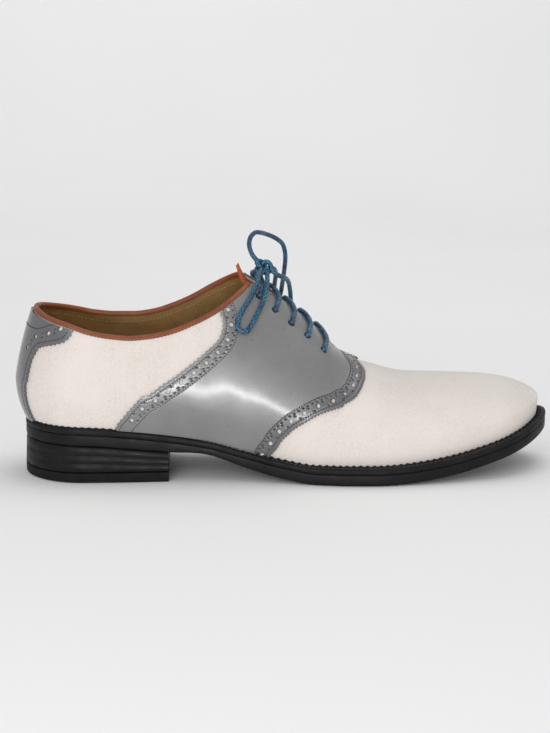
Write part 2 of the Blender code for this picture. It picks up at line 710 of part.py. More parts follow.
def collar_columns(side):
    """Angles of the upper's own columns that end at the collar, from the back seam to the throat's corner."""
    turns = upper_stations()
    column = Column(turns, side)
    at_collar = column.rise_at_height(collar_height(side)) < column.rise_at_distance(throat_gap(turns))
    return turns[:int(np.argmin(at_collar))]


def rim_lines():
    """Outer and inner edge of the rim, from the lateral front corner round the back to the medial one."""
    halves = []
    for side in (LATERAL, MEDIAL):
        turns = collar_columns(side)
        rises = top_rise(turns, side)
        halves.append([skin(turns, rises, side, lift) for lift in (0.0, -UPPER_WALL)])
    (lateral_out, lateral_in), (medial_out, medial_in) = halves
    return np.vstack([lateral_out[::-1], medial_out[1:]]), np.vstack([lateral_in[::-1], medial_in[1:]])


def frames(points):
    """Unit tangents along a line of points."""
    along = np.gradient(points, axis=0)
    return along / np.linalg.norm(along, axis=1, keepdims=True)


def make_binding():
    """A rounded strip seated square on the collar's rim."""
    outer, inner = rim_lines()
    line = (outer + inner) / 2
    across = outer - inner
    across /= np.linalg.norm(across, axis=1, keepdims=True)
    up = np.cross(frames(line), across)
    up /= np.linalg.norm(up, axis=1, keepdims=True)
    up *= np.sign(up[:, 2:])
    half, high = BINDING_WIDTH / 2, BINDING_HEIGHT - CLEARANCE
    profile = ((-0.9, 0.0), (-1.0, 0.45), (-0.55, 1.0), (0.55, 1.0), (1.0, 0.45), (0.9, 0.0))
    rows = [line + across * a * half + up * (CLEARANCE + b * high) for a, b in profile]
    return add_tube_mesh("collar_binding", np.stack(rows, 1), "binding_leather")


def add_tube_mesh(name, rings, finish):
    """A solid through a row of rings (count, sides, 3), its two ends closed."""
    count, sides = rings.shape[:2]
    faces = []
    for k in range(count - 1):
        faces += band(k * sides, (k + 1) * sides, sides)
    faces.append(tuple(range(sides)))
    faces.append(tuple(reversed(range((count - 1) * sides, count * sides))))
    return add_object(name, rings.reshape(-1, 3), faces, finish)


def tube_rings(line, radius, guide):
    """Rings of a round tube along a line; guide is a direction that the line never takes."""
    along = frames(line)
    across = np.cross(along, guide)
    across /= np.linalg.norm(across, axis=1, keepdims=True)
    up = np.cross(across, along)
    angles = np.arange(TUBE_SIDES) * 2 * math.pi / TUBE_SIDES
    ring_way = across[:, None] * np.cos(angles)[None, :, None] + up[:, None] * np.sin(angles)[None, :, None]
    return line[:, None] + radius * ring_way


def eyelet_stations():
    return np.linspace(FIRST_EYELET, LAST_EYELET, EYELET_PAIRS)


def eyelet_spread(station):
    """Distance of an eyelet from the ridge; the rows part a little towards the toe."""
    return np.interp(station, (FIRST_EYELET, LAST_EYELET), (EYELET_SPREAD_TOP, EYELET_SPREAD_TOE))


def eyelet_rise(station, side):
    column = Column(turn_of(station), side)
    return column.rise_at_distance(eyelet_spread(station))


def eyelet_place(station, side):
    """Point on the overlay's face and the way out of it."""
    turn = turn_of(station)
    rise = eyelet_rise(station, side)
    face = skin(turn, rise, side, OVERLAY_GAP + OVERLAY_THICKNESS)
    deep = skin(turn, rise, side, 0.0)
    out = face - deep
    return face, out / np.linalg.norm(out)


def make_eyelet_cutter():
    """Pins through every eyelet, which only cut."""
    body = bmesh.new()
    for station in eyelet_stations():
        for side in (LATERAL, MEDIAL):
            face, out = eyelet_place(station, side)
            turn = Vector((0, 0, 1)).rotation_difference(Vector(out)).to_matrix().to_4x4()
            turn.translation = Vector(face - out * UPPER_WALL)
            bmesh.ops.create_cone(body, cap_ends=True, segments=EYELET_SIDES, radius1=EYELET_DIAMETER / 2,
                                  radius2=EYELET_DIAMETER / 2, depth=4 * UPPER_WALL, matrix=turn)
    mesh = bpy.data.meshes.new("eyelet_cutter")
    body.to_mesh(mesh)
    body.free()
    cutter = bpy.data.objects.new("eyelet_cutter", mesh)
    bpy.context.collection.objects.link(cutter)
    cutter.hide_render = True
    cutter.display_type = "WIRE"
    return cutter


def punch(target, cutter):
    cut = target.modifiers.new("eyelets", "BOOLEAN")
    cut.operation = "DIFFERENCE"
    cut.solver = "EXACT"
    cut.object = cutter


def bar_line(station):
    """Centre line of one lace bar: out of the lateral eyelet, over the throat, into the medial one."""
    radius = LACE_DIAMETER / 2
    over = OVERLAY_GAP + OVERLAY_THICKNESS + CLEARANCE + radius
    bend = radius + CLEARANCE / 2
    turn = turn_of(station)
    spread = eyelet_spread(station)
    samples = BAR_SAMPLES

    def half(side):
        face, out = eyelet_place(station, side)
        start = face - out * OVERLAY_THICKNESS
        distances = np.linspace(spread - bend, 0, samples)
        rises = Column(np.full(samples, turn), side).rise_at_distance(distances)
        run = skin(np.full(samples, turn), rises, side, over)
        high = skin(turn, Column(turn, side).rise_at_distance(spread - 0.3 * bend), side,
                    over - 0.35 * bend)
        return np.vstack([start, face + out * 0.1 * radius, high, run])

    lateral = half(LATERAL)
    medial = half(MEDIAL)[:-1][::-1]
    lateral[-1] = (lateral[-1] + half(MEDIAL)[-1]) / 2
    return np.vstack([lateral, medial])


def make_bars():
    made = []
    for k, station in enumerate(eyelet_stations()):
        rings = tube_rings(bar_line(station), LACE_DIAMETER / 2, np.array([1.0, 0.0, 0.0]))
        made.append(add_tube_mesh(f"lace_bar_{k + 1}", rings, "blue_lace"))
    return made


def smooth(points, count):
    """Centripetal curve through a cord's route points, read at even lengths."""
    points = np.asarray(points, float)
    knots = np.concatenate([[0], np.cumsum(np.linalg.norm(np.diff(points, axis=0), axis=1) ** 0.5)])
    fine = np.linspace(0, knots[-1], 20 * len(points))
    slopes = np.gradient(points, knots, axis=0)
    k = np.clip(np.searchsorted(knots, fine, side="right") - 1, 0, len(knots) - 2)
    step = (knots[k + 1] - knots[k])[:, None]
    t = (fine - knots[k])[:, None] / step
    line = (points[k] * (1 + 2 * t) * (1 - t) ** 2 + points[k + 1] * t * t * (3 - 2 * t)
            + step * (slopes[k] * t * (1 - t) ** 2 + slopes[k + 1] * t * t * (t - 1)))
    length = np.concatenate([[0], np.cumsum(np.linalg.norm(np.diff(line, axis=0), axis=1))])
    even = np.linspace(0, length[-1], count)
    return np.stack([np.interp(even, length, line[:, axis]) for axis in range(3)], -1)


def make_cord(name, route):
    """A round tube along the smooth curve through a route."""
    length = np.linalg.norm(np.diff(np.array(route), axis=0), axis=1).sum()
    line = smooth(route, int(length / (CORD_STEP * LACE_DIAMETER)) + 2)
    data = bpy.data.curves.new(name, "CURVE")
    data.dimensions = "3D"
    spline = data.splines.new("POLY")
    spline.points.add(len(line) - 1)
    spline.points.foreach_set("co", np.column_stack([line, np.ones(len(line))]).ravel())
    data.bevel_depth = LACE_DIAMETER / 2
    data.bevel_resolution = 2
    data.use_fill_caps = True
    data.materials.append(material("blue_lace"))
    made = bpy.data.objects.new(name, data)
    bpy.context.collection.objects.link(made)
    return made


def make_bow():
    """The knot on the top bar, with two loops and two ends."""
    body = bmesh.new()
    bmesh.ops.create_uvsphere(body, u_segments=12, v_segments=8, radius=1.0)
    bmesh.ops.scale(body, vec=KNOT_SIZE, verts=body.verts)
    bmesh.ops.translate(body, vec=KNOT_PLACE, verts=body.verts)
    points = [vertex.co[:] for vertex in body.verts]
    faces = [[vertex.index for vertex in face.verts] for face in body.faces]
    body.free()
    knot = add_object("lace_knot", points, faces, "blue_lace")
    return [knot] + [make_cord(name, route) for name, route in LACE_ROUTES]


def centre_on_floor(objects):
    """Moves the meshes so that the box of the shoe stands on z = 0, its middle over the origin."""
    bpy.context.view_layer.update()
    corners = np.vstack([[list(o.matrix_world @ Vector(c)) for c in o.bound_box] for o in objects])
    low, high = corners.min(0), corners.max(0)
    return Vector((-(low[0] + high[0]) / 2, -(low[1] + high[1]) / 2, -low[2]))


def main():
    for old in list(bpy.data.objects):
        bpy.data.objects.remove(old, do_unlink=True)
    upper = make_upper()
    saddle = make_saddle()
    pieces = [upper, saddle, make_counter(), make_tongue(), make_insole(), make_welt(), make_outsole(),
              *make_heel(), make_binding(), *make_bars()]
    cutter = make_eyelet_cutter()
    punch(upper, cutter)
    punch(saddle, cutter)
    shift = centre_on_floor(pieces)
    for piece in [*pieces, *make_bow(), cutter]:
        piece.location = shift


if __name__ == "__main__":
    main()
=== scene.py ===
"""Looks of a right saddle shoe: nubuck upper, perforated calf saddle and counter, welted sole, tied lace.

Metres, +X to the toe, +Y to the wearer's left, +Z up. Every piece of the upper is a patch of one surface,
the last's skin, given by a turn (along the shoe) and a rise (up its side) and lifted along its normal.
"""
import math

import bmesh
import bpy
import numpy as np
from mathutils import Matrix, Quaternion, Vector


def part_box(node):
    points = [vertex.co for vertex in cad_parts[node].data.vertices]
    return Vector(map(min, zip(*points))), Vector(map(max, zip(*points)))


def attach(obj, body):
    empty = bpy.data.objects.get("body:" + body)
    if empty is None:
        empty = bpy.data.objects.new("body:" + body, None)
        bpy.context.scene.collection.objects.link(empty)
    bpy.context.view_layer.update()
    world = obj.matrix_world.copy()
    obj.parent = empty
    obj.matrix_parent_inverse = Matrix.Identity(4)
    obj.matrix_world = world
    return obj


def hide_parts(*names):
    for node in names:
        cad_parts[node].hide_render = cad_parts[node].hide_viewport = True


bl_info = {
    "name": "Saddle Shoe Looks",
    "version": (1, 0, 0),
    "blender": (4, 5, 0),
    "location": "3D View > Sidebar > Shoe",
    "description": "Dresses the packed saddle shoe with leather, perforations, seams, welt and lace",
    "category": "Object",
}

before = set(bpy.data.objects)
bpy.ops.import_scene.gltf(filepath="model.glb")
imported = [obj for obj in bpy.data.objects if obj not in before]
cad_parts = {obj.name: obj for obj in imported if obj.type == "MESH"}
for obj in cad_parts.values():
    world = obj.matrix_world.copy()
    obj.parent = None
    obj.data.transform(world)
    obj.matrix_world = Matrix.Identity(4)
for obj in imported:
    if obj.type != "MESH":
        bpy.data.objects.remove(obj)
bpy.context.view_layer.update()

# Driving sizes of the shoe
SHOE_LENGTH = 0.312
BALL_WIDTH = 0.107
INSTEP_HEIGHT = 0.099
TOPLINE_HEIGHT = 0.101
HEEL_RISE = 0.0223
TOE_SPRING = 0.0225
OUTSOLE_THICKNESS = 0.0065
WELT_THICKNESS = 0.0035
WELT_REACH = 0.0055
WELT_SEAT = 0.0045
TOP_PIECE_THICKNESS = 0.006
HEEL_LENGTH = 0.084
HEEL_FLARE = 0.0008
UPPER_WALL = 0.002
OVERLAY_THICKNESS = 0.0012
OVERLAY_DROP = 0.0014
OVERLAY_GAP = 0.0005
INSOLE_THICKNESS = 0.0025
TONGUE_THICKNESS = 0.0024
TONGUE_TOP_HALF = 0.0085
TONGUE_HALF = 0.016
TONGUE_TIP_HALF = 0.013
TONGUE_FREE = 0.013
TONGUE_SHOULDER = 0.04
TONGUE_LEAN = (48.0, 72.0)
THROAT_HALF_GAP = 0.0034
THROAT_FLARE = 0.0066
THROAT_FLARE_POWER = 1.5
BINDING_HEIGHT = 0.0022
BINDING_WIDTH = 0.0032
CLEARANCE = 0.0003
LACE_DIAMETER = 0.0028
EYELET_DIAMETER = 0.0046
EYELET_SPREAD_TOP = 0.0145
EYELET_SPREAD_TOE = 0.0215
EYELET_PAIRS = 5

# Where things start and stop along the shoe, as shares of its length
TREAD_END = 0.645
THROAT_START = 0.42
THROAT_FLARE_END = 0.50
THROAT_END = 0.586
TONGUE_START = 0.432
TONGUE_END = 0.665
FIRST_EYELET = 0.437
LAST_EYELET = 0.555
HEEL_FAN = 0.102
HEEL_FAN_REACH = 0.28
TOE_FAN = 0.1155
TOE_FAN_START = 0.627
HEEL_ROUND = 0.112
TOE_ROUND = 0.115
SPRING_POWER = 1.9
MIDFOOT_CROWDING = 0.2
WIDEST_SHARE = 0.22

# The heel's back in the frame: the last's own zero
LAST_PLACE = np.array([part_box("outsole")[0][0], 0.001613, 0.0])

# One row for each section of the last: half widths and how far the wall swells or leans, as shares of the ball
# width, heights as shares of the instep height, seat as a share of the heel's rise
SECTION_COLUMNS = ("station", "lateral", "medial", "seat", "gauge", "inset", "belly", "bulge", "power",
                   "inner", "ridge", "side")
SECTIONS = (
    (0.00, 0.300, 0.292, 1.000, 1.00, 0.33, 0.235, 0.049, 1.28, 1.28, 1.470, 0.000),
    (0.06, 0.312, 0.304, 0.985, 1.00, 0.33, 0.235, 0.045, 1.34, 1.34, 1.470, 0.000),
    (0.13, 0.322, 0.310, 0.950, 1.00, 0.36, 0.230, 0.036, 1.43, 1.43, 1.470, 0.000),
    (0.20, 0.327, 0.302, 0.868, 1.00, 0.42, 0.220, 0.030, 1.50, 1.50, 1.470, 0.000),
    (0.27, 0.325, 0.280, 0.745, 0.92, 0.50, 0.210, 0.027, 1.55, 1.75, 1.445, 0.000),
    (0.34, 0.330, 0.262, 0.583, 0.62, 0.58, 0.190, 0.025, 1.62, 2.15, 1.360, 0.004),
    (0.41, 0.362, 0.268, 0.330, 0.86, 0.70, 0.172, 0.023, 1.70, 2.35, 1.200, 0.008),
    (0.48, 0.412, 0.302, 0.112, 1.00, 0.82, 0.155, 0.023, 1.76, 2.28, 1.015, 0.010),
    (0.54, 0.458, 0.348, 0.000, 1.00, 0.90, 0.142, 0.023, 1.80, 2.15, 0.858, 0.010),
    (0.60, 0.490, 0.400, 0.000, 1.00, 0.95, 0.132, 0.024, 1.88, 2.05, 0.675, 0.010),
    (0.66, 0.500, 0.446, 0.000, 1.00, 1.00, 0.125, 0.024, 1.95, 2.02, 0.607, 0.012),
    (0.73, 0.482, 0.470, 0.000, 1.00, 1.00, 0.120, 0.023, 1.98, 1.98, 0.553, 0.010),
    (0.80, 0.450, 0.456, 0.000, 1.00, 1.00, 0.115, 0.022, 1.95, 1.95, 0.546, 0.006),
    (0.87, 0.396, 0.398, 0.000, 1.00, 1.00, 0.110, 0.019, 1.85, 1.85, 0.5425, 0.003),
    (0.94, 0.335, 0.325, 0.000, 1.00, 1.00, 0.105, 0.013, 1.70, 1.70, 0.530, 0.000),
    (1.00, 0.290, 0.275, 0.000, 1.00, 1.00, 0.100, 0.006, 1.60, 1.60, 0.525, 0.000),
)

# The topline: heights as shares of its height at the back
COLLAR_COLUMNS = ("station", "lateral", "medial")
COLLAR = (
    (0.000, 1.000, 1.000),
    (0.053, 0.944, 0.962),
    (0.092, 0.911, 0.933),
    (0.129, 0.873, 0.907),
    (0.168, 0.850, 0.896),
    (0.205, 0.840, 0.896),
    (0.241, 0.848, 0.910),
    (0.280, 0.872, 0.948),
    (0.317, 0.914, 0.998),
    (0.355, 0.968, 1.066),
    (0.393, 1.044, 1.130),
    (0.433, 1.140, 1.190),
    (0.480, 1.260, 1.300),
)

# The saddle's edges. rise: share of the way up the section. rear, front: shares of the length.
SADDLE_COLUMNS = ("rise", "rear", "front")
SADDLE = (
    (0.00, 0.174, 0.4536),
    (0.10, 0.193, 0.4655),
    (0.16, 0.208, 0.4720),
    (0.25, 0.229, 0.4886),
    (0.35, 0.243, 0.5265),
    (0.45, 0.257, 0.5735),
    (0.55, 0.278, 0.6100),
    (0.65, 0.304, 0.6260),
    (0.75, 0.339, 0.6350),
    (0.82, 0.365, 0.6370),
    (0.90, 0.371, 0.6320),
    (1.00, 0.366, 0.6250),
)

# The counter's edge, then its upper seam and its holes, each as a share of the way up and of the length
COUNTER_COLUMNS = ("rise", "edge")
COUNTER = (
    (0.000, 0.0190),
    (0.100, 0.0178),
    (0.300, 0.0225),
    (0.470, 0.0240),
    (0.600, 0.0258),
    (0.680, 0.0301),
    (0.750, 0.0360),
    (0.785, 0.0470),
    (0.820, 0.0650),
    (0.870, 0.0830),
    (0.940, 0.0930),
    (1.000, 0.0968),
)
COUNTER_SEAM = ((1.000, 0.0604), (0.980, 0.0511), (0.946, 0.0416), (0.926, 0.0343), (0.906, 0.0281), (0.890, 0.012),
                (0.888, 0.0))
COUNTER_HOLES = ((0.979, 0.074), (0.908, 0.052), (0.837, 0.028), (0.715, 0.0155))

# The bow: place of the knot, then each cord's route from it, from the heel's back
KNOT_PLACE = (0.1405, -0.0020, 0.1195)
CORD_STEP = 2.0
LACE_ROUTES = (
    ("lace_loop_lateral", (
        (0.1391, -0.0071, 0.1187), (0.1378, -0.0110, 0.1165), (0.1360, -0.0155, 0.1110), (0.1322, -0.0206, 0.1042),
        (0.1280, -0.0252, 0.0985), (0.1250, -0.0282, 0.0930), (0.1243, -0.0302, 0.0888), (0.1265, -0.0311, 0.0858),
        (0.1300, -0.0305, 0.0866), (0.1328, -0.0285, 0.0905), (0.1355, -0.0260, 0.0950), (0.1383, -0.0222, 0.0997),
        (0.1410, -0.0172, 0.1055), (0.1425, -0.0112, 0.1122), (0.1426, -0.0067, 0.1178))),
    ("lace_loop_medial", (
        (0.1377, -0.0010, 0.1225), (0.1345, 0.0000, 0.1265), (0.1328, 0.0015, 0.1312), (0.1334, 0.0045, 0.1358),
        (0.1364, 0.0085, 0.1386), (0.1405, 0.0130, 0.1382), (0.1450, 0.0180, 0.1364), (0.1500, 0.0230, 0.1338),
        (0.1545, 0.0275, 0.1295), (0.1562, 0.0310, 0.1225), (0.1558, 0.0325, 0.1140), (0.1545, 0.0325, 0.1050),
        (0.1528, 0.0325, 0.0970), (0.1490, 0.0325, 0.0915), (0.1440, 0.0320, 0.0925), (0.1413, 0.0300, 0.0980),
        (0.1405, 0.0262, 0.1045), (0.1405, 0.0205, 0.1105), (0.1408, 0.0130, 0.1160), (0.1413, 0.0045, 0.1190))),
    ("lace_end_1", (
        (0.1447, 0.0010, 0.1190), (0.1475, 0.0055, 0.1175), (0.1490, 0.0120, 0.1140), (0.1490, 0.0190, 0.1080),
        (0.1485, 0.0245, 0.1000), (0.1480, 0.0280, 0.0910), (0.1478, 0.0298, 0.0820), (0.1470, 0.0308, 0.0735))),
    ("lace_end_2", (
        (0.1450, -0.0030, 0.1180), (0.1490, -0.0030, 0.1150), (0.1530, 0.0010, 0.1130), (0.1560, 0.0080, 0.1100),
        (0.1580, 0.0160, 0.1030), (0.1590, 0.0225, 0.0940), (0.1595, 0.0265, 0.0850), (0.1600, 0.0290, 0.0760))),
)

LATERAL = -1
MEDIAL = 1
SIDES = (LATERAL, MEDIAL)

# Finish of the leather work
SHELL_LEATHER = 0.0011
BAND_WIDTH = 0.0096
EDGE_SEAM = 0.0023
INNER_SEAM = 0.0090
SEAM_DEPTH = 0.00028
SEAM_WIDTH = 0.00042
TOOTH_DEPTH = 0.0010
TOOTH_FADE = 0.0018
HOLE_DIAMETER = 0.0024
HOLE_LINE = 0.0047
HOLE_RING = 0.00035
REAR_TOP_HOLE = 0.971
FRONT_TOP_HOLE = 0.715
BACKING_SHARE = 0.45
PIN_DIAMETER = 0.0010
PIN_SPREAD = 0.0015
PIN_DEPTH = 0.0007
THREAD = 0.00042
LACE_SIDES = 14
TIP_LENGTH = 0.009


def curve(columns, table, name, at):
    """Smooth curve through one column of a table: cubic pieces whose slopes are weighted harmonic means."""
    rows = np.asarray(table, float)
    knots = rows[:, 0]
    values = rows[:, columns.index(name)]
    step = np.diff(knots)
    chord = np.diff(values) / step
    before, after = chord[:-1], chord[1:]
    weight_before = 2 * step[1:] + step[:-1]
    weight_after = step[1:] + 2 * step[:-1]
    turns = before * after <= 0
    safe_before = np.where(turns, 1.0, before)
    safe_after = np.where(turns, 1.0, after)
    mean = (weight_before + weight_after) / (weight_before / safe_before + weight_after / safe_after)
    slope = np.zeros(len(knots))
    slope[1:-1] = np.where(turns, 0.0, mean)
    at = np.clip(at, knots[0], knots[-1])
    k = np.clip(np.searchsorted(knots, at, side="right") - 1, 0, len(step) - 1)
    t = (at - knots[k]) / step[k]
    ends = values[k] * (1 + 2 * t) * (1 - t) ** 2 + values[k + 1] * t * t * (3 - 2 * t)
    tangents = slope[k] * t * (1 - t) ** 2 + slope[k + 1] * t * t * (t - 1)
    return ends + step[k] * tangents


def section(name, station):
    """A column of the last's sections at a share of the length."""
    return curve(SECTION_COLUMNS, SECTIONS, name, station)


def turn_of(station):
    """Angle of a station: the arc cosine of one less twice the share of the length."""
    return np.arccos(np.clip(1 - 2 * np.asarray(station, float), -1, 1))


def station_of(turn):
    """Share of the length at an angle from 0 at the heel to pi at the toe."""
    return (1 - np.cos(turn)) / 2


def sole_edge(turn, side):
    """Plan point of the sole's edge: the half width, rounded off by an ellipse at heel and toe."""
    station = station_of(turn)
    half = section("lateral" if side == LATERAL else "medial", station) * BALL_WIDTH
    heel = np.clip(1 - station / HEEL_ROUND, 0, 1)
    toe = np.clip((station - 1 + TOE_ROUND) / TOE_ROUND, 0, 1)
    half = half * np.sqrt(np.clip(1 - heel ** 2, 0, 1)) * np.sqrt(np.clip(1 - toe ** 2, 0, 1))
    return np.stack([station * SHOE_LENGTH, side * half], -1)


def plan(turn, side, inset):
    """Plan point drawn in from the sole's edge, square to it."""
    nudge = 1e-3
    turn = np.asarray(turn, float)
    ahead, behind = turn + nudge, turn - nudge
    point_ahead = sole_edge(np.where(ahead > math.pi, math.pi, ahead), side)
    point_behind = sole_edge(np.where(behind < 0, 0, behind), side)
    along = point_ahead - point_behind
    along[..., 0] = np.where((ahead > math.pi) | (behind < 0), 0.0, along[..., 0])
    along /= np.linalg.norm(along, axis=-1, keepdims=True)
    outward = np.stack([-side * along[..., 1], side * along[..., 0]], -1)
    return sole_edge(turn, side) - outward * np.asarray(inset)[..., None]


def welt_top(x):
    """Height of the welt's top: the seat's height, with the toe's spring past the tread."""
    station = np.clip(x / SHOE_LENGTH, 0, 1)
    spring = TOE_SPRING * np.clip((station - TREAD_END) / (1 - TREAD_END), 0, None) ** SPRING_POWER
    return OUTSOLE_THICKNESS + WELT_THICKNESS + HEEL_RISE * section("seat", station) + spring


def welt_bottom(x):
    """Height of the joint between welt and outsole."""
    return welt_top(x) - WELT_THICKNESS


def outsole_bottom(x):
    """Height of the outsole's underside, thinner under the waist, flat on z = 0 under the tread."""
    station = np.clip(x / SHOE_LENGTH, 0, 1)
    return np.maximum(welt_bottom(x) - OUTSOLE_THICKNESS * section("gauge", station), 0.0)


def feather_inset(turn):
    """How far the upper's foot stands in from the welt's edge."""
    return WELT_REACH * section("inset", station_of(turn))


def ridge_station(station):
    """Share of the length at which a section meets the ridge; the sections fan out at both ends."""
    heel = HEEL_FAN * np.clip(1 - station / HEEL_FAN_REACH, 0, 1) ** 2
    toe = TOE_FAN * np.clip((station - TOE_FAN_START) / (1 - TOE_FAN_START), 0, 1) ** 2
    return station + heel - toe


def ridge_point(station):
    """Point of the ridge over the instep and toe."""
    side = section("side", station) * BALL_WIDTH
    return np.stack([station * SHOE_LENGTH, side, section("ridge", station) * INSTEP_HEIGHT], -1)


class Column:
    """The last's sections at some angles on one side: from the feather line up to the ridge."""

    def __init__(self, turn, side):
        self.turn = np.asarray(turn, float)
        station = station_of(self.turn)
        foot = plan(self.turn, side, feather_inset(self.turn))
        top = ridge_station(station)
        nudge = 0.004
        self.ridge = ridge_point(top)
        rise = ridge_point(top + nudge)[..., 2] - ridge_point(top - nudge)[..., 2]
        reach = foot - self.ridge[..., :2]
        self.foot = np.linalg.norm(reach, axis=-1)
        self.way = reach / self.foot[..., None]
        self.slope = rise / (2 * nudge * SHOE_LENGTH) * self.way[..., 0]
        self.wide = self.foot + section("bulge", station) * BALL_WIDTH
        self.seat = welt_top(foot[..., 0]) + CLEARANCE
        self.belly = self.seat + section("belly", station) * INSTEP_HEIGHT
        self.power = section("power" if side == LATERAL else "inner", station)

    def bare(self, rise):
        """Point at a rise from 0 at the feather line, over 1 at the widest, to 2 at the ridge.

        Below the widest point the wall swells as a parabola; above it the section is a superellipse.
        """
        low = np.clip(rise, 0, 1)
        angle = np.clip(rise - 1, 0, 1) * math.pi / 2
        swell = self.foot + (self.wide - self.foot) * (1 - (1 - low) ** 2)
        out = swell * np.clip(np.cos(angle), 0, 1) ** (2 / self.power)
        up = np.clip(np.sin(angle), 0, 1) ** (2 / self.power)
        height = self.seat + (self.belly - self.seat) * low + (self.ridge[..., 2] - self.belly) * up
        height = height + self.slope * out * np.sin(angle) ** 2
        plan_point = self.ridge[..., :2] + out[..., None] * self.way
        return np.concatenate([plan_point, height[..., None]], -1)

    def rise_at_height(self, height):
        """Rise at which each section reaches a height, which may be a function of x."""
        rises = np.linspace(0, 2, 161)
        found = np.full(self.turn.shape, 2.0)
        last = None
        for rise in rises:
            point = self.bare(np.full(self.turn.shape, rise))
            over = point[..., 2] - height(point[..., 0])
            if last is not None:
                hit = (over > 0) & (last <= 0) & (found >= 2.0)
                part = np.where(hit, last / np.where(hit, last - over, 1.0), 0)
                found = np.where(hit, rise - rises[1] * (1 - part), found)
            last = over
        return found

    def rise_at_distance(self, distance):
        """Rise at which each section is a distance from the ridge in plan."""
        share = np.clip(distance / self.wide, 0, 1)
        return 1 + np.arccos(share ** (self.power / 2)) * 2 / math.pi


def skin(turn, rise, side, lift):
    """Point of the last's surface in the frame, lifted along its normal; at the feather line the lift is level."""
    turn, rise = np.broadcast_arrays(np.asarray(turn, float), np.asarray(rise, float))
    column = Column(turn, side)
    point = column.bare(rise)
    nudge = 2e-3
    along = (Column(np.clip(turn + nudge, 0, math.pi), side).bare(rise)
             - Column(np.clip(turn - nudge, 0, math.pi), side).bare(rise))
    upward = column.bare(np.clip(rise + nudge, 0, 2)) - column.bare(np.clip(rise - nudge, 0, 2))
    normal = np.cross(along, upward) * -side
    ends = (turn < nudge) | (turn > math.pi - nudge)
    normal[..., 1] = np.where(ends, 0.0, normal[..., 1])
    normal[..., 1] = np.where(rise > 2 - nudge, 0.0, normal[..., 1])
    normal[..., 2] *= np.clip(rise * 2, 0, 1)
    normal /= np.linalg.norm(normal, axis=-1, keepdims=True)
    return point + np.asarray(lift)[..., None] * normal + LAST_PLACE


def collar_height(side, drop=0.0):
    """The rim of the upper under its binding, or a drop below it, as a function of x."""
    name = "lateral" if side == LATERAL else "medial"
    under = BINDING_HEIGHT + drop
    return lambda x: curve(COLLAR_COLUMNS, COLLAR, name, x / SHOE_LENGTH) * TOPLINE_HEIGHT - under


def throat_gap(turn):
    """Half the width of the throat: narrow between the facings, opening to a V at its top."""
    share = np.clip((THROAT_FLARE_END - station_of(turn)) / (THROAT_FLARE_END - THROAT_START), 0, 1)
    return THROAT_HALF_GAP + THROAT_FLARE * share ** THROAT_FLARE_POWER


def top_rise(turn, side, drop=0.0):
    """Rise of the upper's rim: the collar, then the edge of the throat, then the ridge itself."""
    column = Column(turn, side)
    open_part = station_of(column.turn) < THROAT_END - 1e-6
    collar = column.rise_at_height(collar_height(side, drop))
    rim = np.minimum(collar, column.rise_at_distance(throat_gap(column.turn)))
    return np.where(open_part, rim, 2.0)


def rows_up(share, top):
    """Rises at shares of the way up; the widest line keeps the same share everywhere."""
    low = share / WIDEST_SHARE
    high = 1 + (share - WIDEST_SHARE) / (1 - WIDEST_SHARE) * (top - 1)
    return np.where(share <= WIDEST_SHARE, low, high)


def overlay_rise(turn, share, side):
    """Rise of an overlay's point at a share of the way up to the line that it stops at."""
    return rows_up(share, top_rise(turn, side, OVERLAY_DROP))


def saddle_edge(name, share):
    """Station of the saddle's rear or front edge."""
    return curve(SADDLE_COLUMNS, SADDLE, name, share)


def stations(count, marks=()):
    """Angles from heel to toe, closer at mid foot; the nearest is moved onto each marked station."""
    even = np.linspace(0, 1, count + 1)
    turns = math.pi * even + MIDFOOT_CROWDING * np.sin(2 * math.pi * even)
    for mark in marks:
        at = float(turn_of(mark))
        turns[np.argmin(np.abs(turns - at))] = at
    return turns


def add_object(name, points, faces, finish, uv=None, tone=None):
    """A mesh object from arrays, with smooth faces; uv is a value for each corner, tone one for each point."""
    mesh = bpy.data.meshes.new(name)
    mesh.from_pydata(points, [], faces)
    if uv is not None:
        layer = mesh.uv_layers.new(name="UVMap")
        layer.data.foreach_set("uv", np.asarray(uv, float).ravel())
    if tone is not None:
        layer = mesh.attributes.new("tone", "FLOAT", "POINT")
        layer.data.foreach_set("value", np.asarray(tone, float))
    mesh.validate()
    mesh.shade_smooth()
    mesh.set_sharp_from_angle(angle=math.radians(50))
    mesh.materials.append(finish)
    made = bpy.data.objects.new(name, mesh)
    bpy.context.collection.objects.link(made)
    return made


def turn_outward(made):
    """Turns every face of a closed mesh outwards."""
    body = bmesh.new()
    body.from_mesh(made.data)
    bmesh.ops.recalc_face_normals(body, faces=body.faces)
    if body.calc_volume(signed=True) < 0:
        bmesh.ops.reverse_faces(body, faces=body.faces)
    body.to_mesh(made.data)
    body.free()


def settle(made, slot, *nodes):
    """A finished piece rides on the shoe's one body and stands for its nodes, which are hidden; the slot is not used.
    """
    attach(made, "root")
    if nodes:
        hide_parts(*nodes)
    return made


def grid_quads(rows, columns):
    """Corners of every cell of a grid of points."""
    index = np.arange(rows * columns).reshape(rows, columns)
    return np.stack([index[:-1, :-1], index[1:, :-1], index[1:, 1:], index[:-1, 1:]], -1).reshape(-1, 4)


def close_wall(outer, inner, quads):
    """Two like sheets as one wall: the second reversed, with a rim along each edge that only one cell has."""
    count = len(outer)
    first = quads.ravel()
    second = np.roll(quads, -1, axis=1).ravel()
    forward = first.astype(np.int64) * count + second
    backward = second.astype(np.int64) * count + first
    lone = ~np.isin(forward, backward)
    rim = np.stack([second[lone], first[lone], first[lone] + count, second[lone] + count], -1)
    return np.vstack([outer, inner]), np.vstack([quads, quads[:, ::-1] + count, rim])


